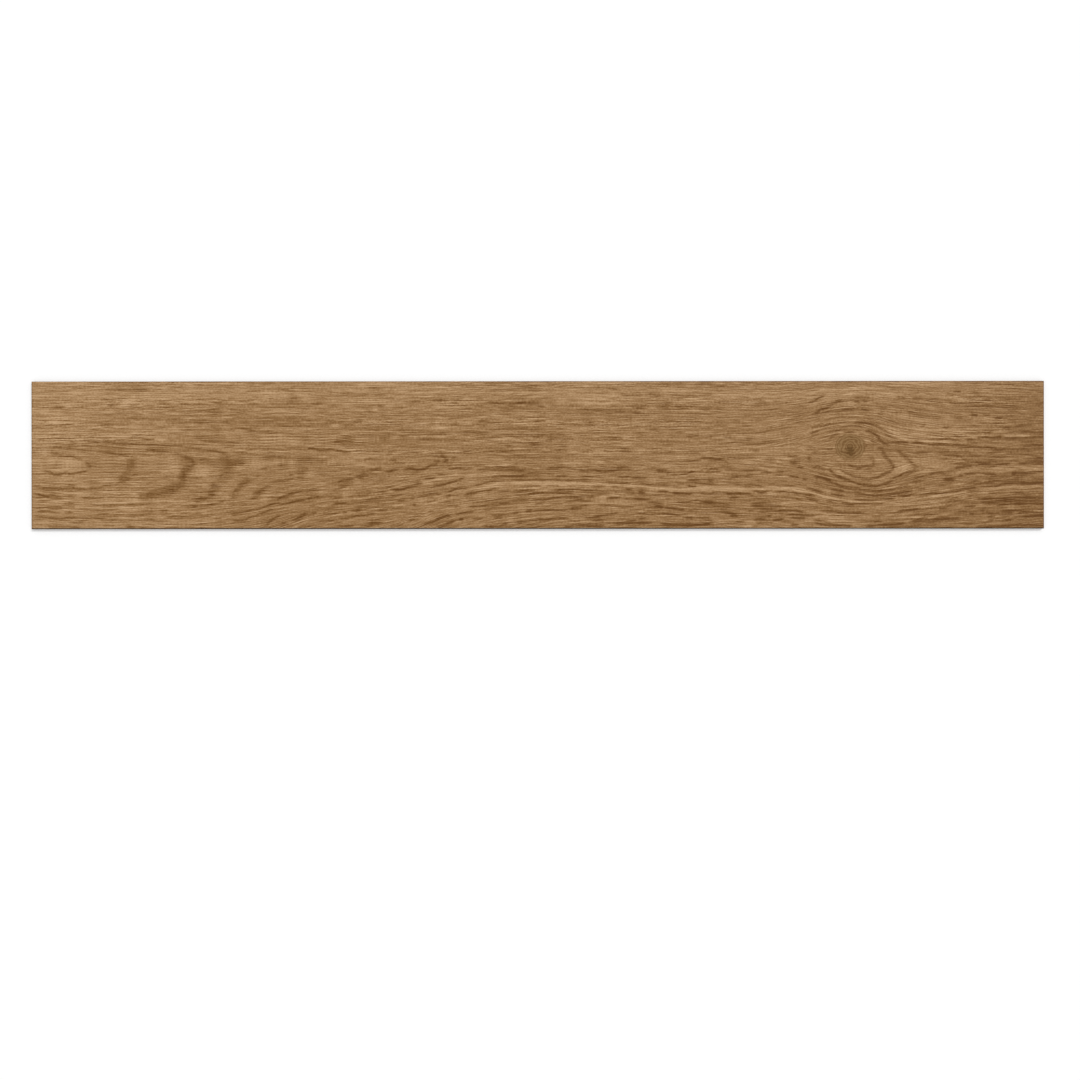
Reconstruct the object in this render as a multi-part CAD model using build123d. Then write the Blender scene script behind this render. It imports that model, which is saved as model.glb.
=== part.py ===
"""A vinyl floor plank, square-cut, with a fine bevel round its wear face. Millimetres.

The plank lies on its back. The origin is the middle of the back face, +X runs along the
length, +Y across the width and +Z up to the wear face.

The plank is pressed and cut as one sheet, so it is one solid.
"""

from build123d import *
import os

# The sheet as it is cut: 48 by 7 inches, and 5 mm thick.
LENGTH = 1219.2
WIDTH = 177.8
THICKNESS = 5.0

# The bevel runs round all four sides of the wear face and is mitred at the corners.
# Its width is measured across the wear face, and its depth down the cut edge.
BEVEL_WIDTH = 1.2
BEVEL_DEPTH = 0.6


def cut_blank():
    """The sheet cut to length and width, with square edges, standing on z = 0."""
    return extrude(Rectangle(LENGTH, WIDTH), amount=THICKNESS)


def bevelled(blank):
    """The blank with the bevel cut round its wear face."""
    wear_face = blank.faces().sort_by(Axis.Z)[-1]
    rim = wear_face.edges()
    return chamfer(rim, length=BEVEL_WIDTH, length2=BEVEL_DEPTH, reference=wear_face)


os.makedirs("parts", exist_ok=True)
export_step(bevelled(cut_blank()), "parts/floor_plank.step")
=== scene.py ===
"""A vinyl floor plank with a printed oak face, lying on its back on a pale floor.

The plank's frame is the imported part's: +X along the grain, +Y across it, +Z up out of the
wear face, in metres. The grain is drawn in millimetres from the plank's left end and up
from its middle line, as a print designer would draw it.
"""

import logging
import math
from dataclasses import dataclass
from enum import Enum

import bpy
import numpy as np
from bpy.types import Material, Mesh, Node, NodeSocket, NodeTree, Object
from mathutils import Euler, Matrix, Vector
from numpy import ndarray


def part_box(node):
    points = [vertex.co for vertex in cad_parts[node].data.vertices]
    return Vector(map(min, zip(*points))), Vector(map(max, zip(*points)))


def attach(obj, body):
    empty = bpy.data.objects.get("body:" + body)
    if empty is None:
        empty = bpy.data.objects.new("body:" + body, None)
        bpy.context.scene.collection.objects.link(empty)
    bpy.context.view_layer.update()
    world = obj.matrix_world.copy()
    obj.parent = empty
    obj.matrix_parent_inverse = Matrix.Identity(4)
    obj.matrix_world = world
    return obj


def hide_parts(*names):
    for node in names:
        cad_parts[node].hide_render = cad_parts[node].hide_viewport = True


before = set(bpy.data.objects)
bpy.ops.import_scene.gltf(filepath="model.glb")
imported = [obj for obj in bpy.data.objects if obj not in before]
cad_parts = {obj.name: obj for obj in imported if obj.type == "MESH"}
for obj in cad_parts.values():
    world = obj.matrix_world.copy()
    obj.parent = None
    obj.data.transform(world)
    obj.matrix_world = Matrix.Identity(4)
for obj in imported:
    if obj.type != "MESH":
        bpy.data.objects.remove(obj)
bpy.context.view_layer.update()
LOG = logging.getLogger("plank")
MM = 0.001
FULL_TURN = 2 * math.pi
WHITE = (1.0, 1.0, 1.0, 1.0)
Sockets = bpy.types.bpy_prop_collection


# Colours and shared sums


SCREEN_FULL = 255
SCREEN_KNEE = 0.04045
SCREEN_SLOPE = 12.92
SCREEN_OFFSET = 0.055
SCREEN_POWER = 2.4
LATTICE_SIDE = 512
BLUR_REACHES = 3
TINY = 1e-9
FULL_WEIGHT = 100


def ink(red: int, green: int, blue: int) -> tuple[float, float, float, float]:
    """Turns a colour read on a screen into the linear colour that a shader takes.

    Args:
        red: Red, 0 to 255.
        green: Green, 0 to 255.
        blue: Blue, 0 to 255.

    Returns:
        Linear red, green and blue, and an alpha of one.
    """
    linear = []
    for value in (red, green, blue):
        share = value / SCREEN_FULL
        if share <= SCREEN_KNEE:
            linear.append(share / SCREEN_SLOPE)
        else:
            linear.append(((share + SCREEN_OFFSET) / (1 + SCREEN_OFFSET)) ** SCREEN_POWER)
    return (linear[0], linear[1], linear[2], 1.0)


def ease(share: ndarray) -> ndarray:
    """Turns a ramp from 0 to 1 into one that starts and stops gently."""
    held = np.clip(share, 0.0, 1.0)
    return held * held * (3.0 - 2.0 * held)


def hills(run: ndarray, rise: ndarray, seed: int) -> ndarray:
    """Gives smooth random hills and hollows, one to each unit of the two coordinates.

    Args:
        run: First coordinate of each point.
        rise: Second coordinate of each point.
        seed: Number that picks the pattern.

    Returns:
        A height from -1 to 1 for each point.
    """
    side = LATTICE_SIDE
    lattice = np.random.default_rng(seed).uniform(-1.0, 1.0, (side, side))
    column = np.floor(run).astype(int)
    row = np.floor(rise).astype(int)
    across = ease(run - column)
    up = ease(rise - row)
    low = lattice[row % side, column % side] * (1 - across)
    low += lattice[row % side, (column + 1) % side] * across
    high = lattice[(row + 1) % side, column % side] * (1 - across)
    high += lattice[(row + 1) % side, (column + 1) % side] * across
    return low * (1 - up) + high * up


def blurred(grid: ndarray, reach: float, axis: int) -> ndarray:
    """Smooths a grid along one axis.

    Args:
        grid: The values, rows by columns.
        reach: Standard deviation of the smoothing, in cells.
        axis: 0 to smooth down the columns, 1 along the rows.

    Returns:
        The smoothed grid, of the same shape.
    """
    span = int(math.ceil(BLUR_REACHES * reach))
    weights = np.exp(-0.5 * (np.arange(-span, span + 1) / reach) ** 2)
    weights /= weights.sum()
    edges = [(0, 0), (0, 0)]
    edges[axis] = (span, span)
    padded = np.pad(grid, edges, mode="edge")
    total = np.zeros_like(grid)
    for step, weight in enumerate(weights):
        part = [slice(None), slice(None)]
        part[axis] = slice(step, step + grid.shape[axis])
        total += weight * padded[tuple(part)]
    return total


# The drawn grain


class Mark(Enum):
    """The two kinds of mark that the oak print is drawn with."""

    DARK = "dark_grain"
    PALE = "pale_grain"


@dataclass(frozen=True)
class Pen:
    """How the lines and patches of the print are laid down.

    Args:
        step: Distance between the points of a curve, in millimetres.
        straight_points: Points on a line that has no bend.
        reach: How far a line prints to each side, in widths.
        edge: How quickly a line's edge falls off.
        edge_power: How sharply it does so.
        fade: Longest run over which a line's end fades, in millimetres.
        fade_share: That run's largest share of the line.
        patch_reach: How far a patch prints, in half widths.
        patch_edge: How quickly a patch's edge falls off.
        fullest: The strongest that one mark prints.
    """

    step: float = 1.5
    straight_points: int = 12
    reach: float = 1.6
    edge: float = 0.7
    edge_power: int = 3
    fade: float = 7.0
    fade_share: float = 0.25
    patch_reach: float = 2.0
    patch_edge: float = 0.9
    fullest: float = 0.98


PEN = Pen()


@dataclass(frozen=True)
class GrainLine:
    """One line of the print, given by points along its middle.

    Args:
        points: Millimetres from the left end and up from the middle line.
        width: Full width of the line, in millimetres.
        weight: How strongly it is printed, in hundredths.
        mark: Whether it is darker or paler than its ground.
    """

    points: tuple[tuple[float, float], ...]
    width: float
    weight: int
    mark: Mark

    def path(self) -> ndarray:
        """Runs a smooth curve through the points.

        Returns:
            Points a millimetre or two apart, one to a row.
        """
        given = np.array(self.points, float)
        if len(given) == 2:
            return np.linspace(given[0], given[1], PEN.straight_points)
        ends = np.vstack((2 * given[0] - given[1], given, 2 * given[-1] - given[-2]))
        runs = []
        for back, start, stop, on in zip(ends, ends[1:], ends[2:], ends[3:]):
            steps = max(2, int(np.hypot(*(stop - start)) / PEN.step))
            t = np.linspace(0.0, 1.0, steps, endpoint=False)[:, None]
            bend = 2 * back - 5 * start + 4 * stop - on
            turn = 3 * start - back - 3 * stop + on
            runs.append(0.5 * (2 * start + (stop - back) * t + bend * t**2 + turn * t**3))
        return np.vstack(runs + [given[-1:]])

    def print_on(self, x: ndarray, y: ndarray) -> tuple[ndarray, ndarray]:
        """Finds how strongly the line prints at each point.

        Args:
            x: Millimetres from the left end, one for each point.
            y: Millimetres up from the middle line.

        Returns:
            The numbers of the points that the line reaches, and its strength at them.
        """
        path = self.path()
        reach = PEN.reach * self.width
        low = path.min(axis=0) - reach
        high = path.max(axis=0) + reach
        inside = (x > low[0]) & (x < high[0]) & (y > low[1]) & (y < high[1])
        near = np.flatnonzero(inside)
        spots = np.column_stack((x[near], y[near]))
        step = np.diff(path, axis=0)
        length = np.hypot(step[:, 0], step[:, 1]) + TINY
        along = np.concatenate(([0.0], np.cumsum(length)))
        best = np.full(len(near), np.inf)
        place = np.zeros(len(near))
        for start, run, size, before in zip(path, step, length, along):
            off = spots - start
            share = np.clip(off @ run / size**2, 0.0, 1.0)
            gap = np.hypot(off[:, 0] - share * run[0], off[:, 1] - share * run[1])
            closer = gap < best
            best[closer] = gap[closer]
            place[closer] = before + share[closer] * size
        fade = min(PEN.fade, PEN.fade_share * along[-1])
        taper = ease(place / fade) * ease((along[-1] - place) / fade)
        edge = np.exp(-PEN.edge * (2 * best / self.width) ** PEN.edge_power)
        return near, self.weight / FULL_WEIGHT * taper * edge


@dataclass(frozen=True)
class GrainCloud:
    """A soft patch of the print.

    Args:
        left: Its left side, in millimetres from the left end.
        right: Its right side.
        low: Its lower side, in millimetres up from the middle line.
        high: Its upper side.
        weight: How strongly it is printed, in hundredths.
        mark: Whether it is darker or paler than its ground.
    """

    left: float
    right: float
    low: float
    high: float
    weight: int
    mark: Mark = Mark.DARK

    def print_on(self, x: ndarray, y: ndarray) -> tuple[ndarray, ndarray]:
        """Finds how strongly the patch prints at each point.

        Args:
            x: Millimetres from the left end, one for each point.
            y: Millimetres up from the middle line.

        Returns:
            The numbers of the points that the patch reaches, and its strength at them.
        """
        half = np.array((self.right - self.left, self.high - self.low)) / 2
        across = (x - (self.left + self.right) / 2) / half[0]
        up = (y - (self.low + self.high) / 2) / half[1]
        away = np.hypot(across, up)
        near = np.flatnonzero(away < PEN.patch_reach)
        return near, self.weight / FULL_WEIGHT * np.exp(-PEN.patch_edge * away[near] ** 2)


def dark(width: float, weight: int, *points: tuple[float, float]) -> GrainLine:
    """Draws a line darker than its ground through the points."""
    return GrainLine(points, width, weight, Mark.DARK)


def pale(width: float, weight: int, *points: tuple[float, float]) -> GrainLine:
    """Draws a line paler than its ground through the points."""
    return GrainLine(points, width, weight, Mark.PALE)


def pale_patch(left: float, right: float, low: float, high: float, weight: int) -> GrainCloud:
    """Draws a patch paler than its ground between the four sides."""
    return GrainCloud(left, right, low, high, weight, Mark.PALE)


LEFT_ARCHES = (
    dark(2.6, 80, (10, -18), (21, -20), (28, -23), (42, -21), (48, -22), (71, -18)),
    dark(3.4, 60, (62, -6), (66, -8.5), (70, -12.5), (72, -17.5)),
    dark(2.3, 70, (20, 2), (30, 1.5), (38, -0.5), (50, -2), (64, -7)),
    dark(2.6, 50, (28, -24.5), (37, -24.5)),
    dark(1.9, 65, (21, 9.5), (33, 9), (84, 4.5), (114, -1), (119, -4)),
    dark(1.9, 70, (120, -23.5), (131, -23.5)),
    dark(3.2, 80, (104, -30), (112, -30), (122, -28.5)),
    dark(2.1, 60, (103, -32), (115, -32)),
    dark(2.1, 60, (98, -36.5), (107, -33.5)),
    dark(2.1, 85, (84, -36.5), (98, -36.5)),
    dark(1.9, 80, (66, -39), (88, -38.5)),
    dark(2.1, 75, (0, -35.5), (10, -38), (19, -39), (66, -39.5)),
    dark(1.9, 55, (12, -41), (20, -41.5), (65, -41), (100, -42)),
    dark(2.3, 85, (0, -45.5), (19, -49), (28, -49), (37, -51)),
    dark(2.1, 85, (57, -50.5), (63, -51.5), (91, -51)),
    dark(1.9, 50, (88, -51), (127, -50)),
    dark(9.5, 54, (125, -50), (139, -49.5), (163, -43.5), (170, -41), (177, -37.5), (181, -32),
         (182, -26), (184, -20), (189, -15.5), (196, -11)),
    dark(2.6, 60, (139, -48.5), (149, -47)),
    dark(2.6, 60, (165, -40), (179, -40)),
    dark(4, 40, (181, -31), (182, -26), (185, -20)),
    dark(2.1, 60, (188, -28), (203, -28)),
    dark(4.4, 60, (166, 3.5), (178, 0.5), (186, -2.5), (190, -4), (194, -7), (196, -10), (193, -13.5),
         (188, -15)),
    dark(2.1, 70, (134, 6.5), (160, 4.5), (170, 3)),
    dark(1.9, 50, (25, 14), (85, 10.5), (134, 6.5)),
    dark(2, 80, (58, 17.5), (86, 16)),
    dark(2, 75, (84, 16), (107, 14), (150, 12.5), (175, 11), (200, 8), (230, 3), (236, 0.5)),
    dark(2.1, 85, (239, -11), (258, -10.5)),
    dark(2.6, 50, (243, -6.5), (254, -7.5)),
    dark(2.6, 50, (225, -18), (238, -18)),
    dark(11, 36, (243, -3), (240, -10), (238, -17), (234, -24), (223, -36), (219, -43), (212, -49),
         (203, -53), (194, -56)),
    dark(2.6, 70, (225, -24.5), (230, -24.5)),
    dark(2.6, 60, (216, -34.5), (224, -34)),
    dark(2.6, 50, (215, -40), (228, -37.5)),
    dark(2.3, 60, (212, -43.5), (226, -42.5)),
    dark(2.3, 65, (212, -47), (221, -47)),
    dark(2.3, 70, (200, -50.5), (209, -49.5)),
    dark(2.1, 75, (193, -55.5), (203, -55), (213, -52.5)),
    dark(2.3, 60, (275, -16), (285, -16)),
    dark(4, 40, (276, -22), (270, -27), (265, -29.5)),
    dark(7, 42, (266, -27), (253, -35.5), (249, -41), (239, -52)),
    dark(2.3, 75, (242, -43), (250, -42.5)),
    dark(2.1, 50, (249, -35), (256, -35)),
    dark(2.6, 45, (303, -30.5), (294, -31.5), (287, -33.5)),
    dark(6, 45, (290, -35.5), (283, -40), (270, -45.5), (265, -51)),
    dark(2.3, 60, (265, -48), (272, -44.5), (281, -41)),
    dark(4, 30, (318, -26.5), (296, -33.5)),
    dark(2.3, 60, (326, -17), (337, -17)),
    dark(2.1, 60, (318, -26.5), (329, -27)),
    dark(2.6, 60, (310, -23.5), (316, -23.5)),
    dark(1.9, 60, (200, 18.5), (215, 16.5), (245, 15), (255, 13)),
    dark(1.9, 50, (285, -0.5), (303, -2.5)),
    GrainCloud(114, 124, -8.7, -4.3, 40),
    GrainCloud(115, 125, -17, -9.5, 50),
    dark(7, 28, (118, -3), (121, -10), (118, -17), (106, -30)),
    GrainCloud(149, 165, -48.3, -42, 40),
    GrainCloud(230, 241, -5.5, -0.5, 35),
    GrainCloud(256, 264, -33, -28, 55),
    GrainCloud(262, 271, -54.5, -50.5, 40),
    GrainCloud(319, 331, -28.5, -15.5, 35),
    GrainCloud(294, 307, -14.5, -10.5, 50),
)

LOWER_LEFT = (
    dark(1.9, 55, (37, -58), (54, -58)),
    dark(1.9, 55, (70, -60), (102, -59.5)),
    dark(1.9, 47, (112, -59), (126, -59)),
    dark(2, 68, (16, -62), (30, -62), (40, -63.5)),
    dark(2, 64, (53, -64.5), (65, -64.5), (74, -65.5), (90, -66), (109, -64.5)),
    dark(2, 68, (4, -67.5), (16, -67.5), (37, -70)),
    dark(2.1, 77, (39, -69), (50, -69)),
    dark(2, 68, (77, -70.5), (96, -70.5)),
    dark(2, 77, (0, -72.5), (36, -75.5), (46, -75), (92, -77)),
    dark(2.1, 72, (90, -78), (137, -77.5), (154, -79)),
    dark(2.1, 64, (29, -78), (42, -78.5), (50, -80.5), (69, -81)),
    dark(2.1, 68, (17, -85.5), (46, -86), (61, -87)),
    dark(2.1, 68, (84, -84.5), (103, -84.5)),
    dark(2.3, 77, (110, -85.5), (139, -87)),
    dark(1.9, 51, (120, -68), (143, -67), (151, -67.5)),
    dark(2.1, 68, (156, -67), (165, -66.5)),
    dark(1.9, 68, (177, -70), (209, -70)),
    dark(1.9, 47, (159, -73.5), (170, -74), (188, -73.5)),
    dark(1.9, 51, (219, -76), (230, -76)),
    dark(2.1, 68, (192, -62), (201, -61.5)),
    dark(2, 68, (199, -61), (227, -58), (232, -58.5)),
    dark(2, 68, (226, -56), (232, -55.5)),
    dark(2.1, 68, (240, -72), (248, -72)),
    dark(1.9, 42, (250, -61), (259, -59)),
    dark(2.1, 72, (294, -57), (297, -53), (302, -50), (307, -48), (318, -45.5), (324, -43.5),
         (333, -42.5), (339, -41.5), (352, -42.5)),
    dark(2, 72, (239, -70.5), (256, -68.5), (268, -65), (274, -64.5), (280, -62.5), (288, -59.5),
         (296, -58), (304, -58.5), (328, -53.5), (347, -50.5), (378, -48.5)),
    dark(2, 64, (376, -49.5), (387, -49), (419, -44.5), (431, -44)),
    dark(1.9, 42, (362, -52), (378, -50.5)),
    dark(2.1, 68, (239, -79), (257, -78), (264, -74), (271, -72.5), (286, -66.5), (294, -65)),
    dark(2.6, 59, (281, -87), (285, -81.5), (295, -74), (301, -71.5)),
    dark(3.4, 85, (311, -79), (317, -77.5), (323, -75), (327, -72), (333, -69.5)),
    dark(2.3, 68, (299, -82), (308, -82)),
    dark(2.1, 59, (296, -86), (315, -83.5)),
    dark(2.1, 68, (318, -86), (334, -85), (340, -83.5)),
    dark(2.3, 68, (337, -69), (344, -69)),
    dark(1.9, 51, (349, -70.5), (372, -70)),
    dark(2, 68, (333, -61), (344, -60.5)),
    dark(2, 68, (361, -59), (369, -58), (381, -58)),
    dark(1.9, 42, (348, -65.5), (378, -65.5)),
    dark(2, 68, (378, -67), (398, -65.5)),
    dark(2.6, 77, (374, -68.5), (380, -68.5)),
    dark(1.9, 55, (399, -65.5), (405, -64), (420, -62.5)),
    dark(2.3, 85, (417, -67), (431, -66.5)),
    dark(1.9, 51, (429, -66), (449, -62)),
    dark(2.3, 72, (403, -70.5), (416, -69.5)),
    dark(2, 59, (381, -75.5), (390, -73.5), (397, -72.5), (406, -73)),
    dark(1.9, 51, (368, -76.5), (384, -76.5)),
    dark(2, 68, (339, -79), (370, -78.5)),
    dark(2.1, 68, (398, -55), (405, -54.5), (411, -52.5), (424, -51)),
    dark(1.9, 59, (430, -50), (447, -47.5)),
    dark(2, 72, (439, -55.5), (450, -54.5)),
    dark(2.3, 59, (456, -52.5), (462, -52.5)),
    dark(2.6, 68, (458, -60), (463, -60)),
    dark(2.1, 68, (365, -85.5), (389, -85.5)),
    dark(2.1, 68, (393, -85.5), (413, -85)),
    dark(2, 59, (403, -83.5), (425, -81.5)),
    dark(2.3, 68, (429, -86.5), (436, -85), (443, -84.5), (451, -80.5)),
    dark(2.1, 68, (452, -79), (462, -77.5)),
)

MIDDLE_LINES = (
    dark(2.2, 90, (330, 9), (350, 6), (362, 7), (380, 3.5), (387, 3)),
    dark(2, 75, (361, 16), (375, 16.5), (390, 15.5)),
    dark(2.3, 80, (367, -35.5), (374, -30), (384, -29), (391, -27.5)),
    dark(3.2, 60, (388, -26.5), (398, -23.5), (404, -20.5)),
    dark(2.3, 70, (392, -28), (400, -27)),
    dark(2.1, 70, (398, -24.5), (407, -24.5)),
    dark(2.3, 70, (367, -38.5), (379, -37.5)),
    dark(2.3, 80, (403, -17.5), (411, -17), (429, -19.5), (436, -18), (446, -18)),
    dark(2.6, 85, (446, -17), (457, -16), (463, -17.5), (468, -17.5), (474, -16.5), (481, -12),
         (487, -11.5), (492, -9.5)),
    dark(2, 90, (430, -41), (441, -41.5), (448, -41), (453, -39), (464, -37.5), (468, -34)),
    dark(1.9, 60, (398, -5.5), (411, -4.5)),
    dark(2.3, 80, (431, -6), (440, -6)),
    dark(1.9, 60, (426, 1), (435, 0)),
    dark(3.4, 70, (492, 1), (497, -2.5), (501, -3.5)),
    dark(3.6, 100, (496, -6.5), (502, -6.5)),
    dark(2.1, 60, (484, -6.5), (492, -7)),
    dark(2.6, 50, (506, -3), (512, -2.5)),
    dark(2, 80, (498, -17), (514, -16), (523, -17), (530, -16), (535, -14)),
    dark(2.1, 75, (543, -14), (579, -15), (588, -16.5)),
    dark(1.9, 70, (535, -17.5), (598, -18)),
    dark(2.1, 80, (471, -29), (483, -28), (488, -25.5)),
    dark(1.9, 60, (489, -23.5), (498, -23.5)),
    dark(2, 70, (489, -35), (500, -34.5), (525, -26)),
    dark(2, 75, (552, -26), (561, -25.5), (587, -26), (591, -24), (598, -24)),
    dark(2, 65, (530, -36), (539, -35.5), (560, -31.5), (620, -29.5), (650, -30.5), (673, -30)),
    dark(2, 80, (464, -49.5), (471, -49.5), (480, -47.5), (489, -46.5), (497, -44.5), (503, -44),
         (509, -41.5), (522, -39.5), (530, -38.5)),
    dark(2, 70, (479, -40), (489, -37), (493, -37)),
    dark(2.1, 85, (519, -49), (528, -46), (533, -46), (539, -44), (551, -42.5), (555, -41), (566, -40.5)),
    dark(2, 70, (558, -44), (578, -43)),
    dark(1.9, 45, (580, -43.5), (612, -43.5)),
    dark(2, 85, (578, -38), (616, -37)),
    dark(1.9, 60, (498, -49.5), (507, -48.5), (517, -49)),
    dark(2, 70, (469, -58.5), (474, -55.5), (481, -55.5), (491, -53.5)),
    dark(1.9, 60, (497, -56), (509, -56.5)),
    dark(1.9, 60, (529, -58), (556, -54.5)),
    dark(1.9, 55, (558, -53.5), (578, -50.5)),
    dark(2.1, 90, (580, -49), (597, -48.5), (600, -47), (620, -45.5), (656, -47)),
    dark(1.9, 60, (658, -48), (700, -47.5)),
    dark(2.1, 95, (523, -62.5), (553, -60.5)),
    dark(2, 80, (497, -62), (510, -61), (516, -62.5)),
    dark(2.4, 100, (561, -58.5), (578, -57)),
    dark(2.1, 75, (575, -57), (582, -55.5), (603, -53.5)),
    dark(2.6, 100, (599, -53.5), (621, -53.5), (628, -52)),
    dark(2, 85, (605, -58.5), (618, -58.5)),
    dark(2, 70, (478, -68), (486, -68)),
    dark(2.1, 80, (509, -72), (525, -68.5), (534, -68)),
    dark(1.9, 50, (543, -66), (556, -66)),
    dark(3.2, 80, (594, -68), (603, -67)),
    dark(2, 85, (601, -67), (649, -66)),
    dark(2.1, 85, (553, -73), (574, -72), (577, -71), (590, -69.5)),
    dark(2.1, 85, (529, -76.5), (545, -76.5)),
    dark(2.1, 85, (555, -76.5), (568, -75.5)),
    dark(2.6, 90, (515, -77.5), (521, -77.5)),
    dark(3.2, 100, (469, -85), (477, -82), (483, -80.5), (496, -74), (508, -73)),
    dark(3.2, 100, (484, -86), (495, -85), (507, -80.5), (513, -80)),
    dark(2.6, 90, (542, -85.5), (555, -86), (564, -85.5), (570, -82.5), (577, -82)),
    dark(2.3, 85, (580, -82.5), (586, -81), (630, -76.5), (649, -76.5)),
    GrainCloud(370, 384, -39.5, -28.5, 40),
    GrainCloud(463, 470, -36.5, -31, 60),
    GrainCloud(573, 579, -73, -69.5, 40),
)

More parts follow.
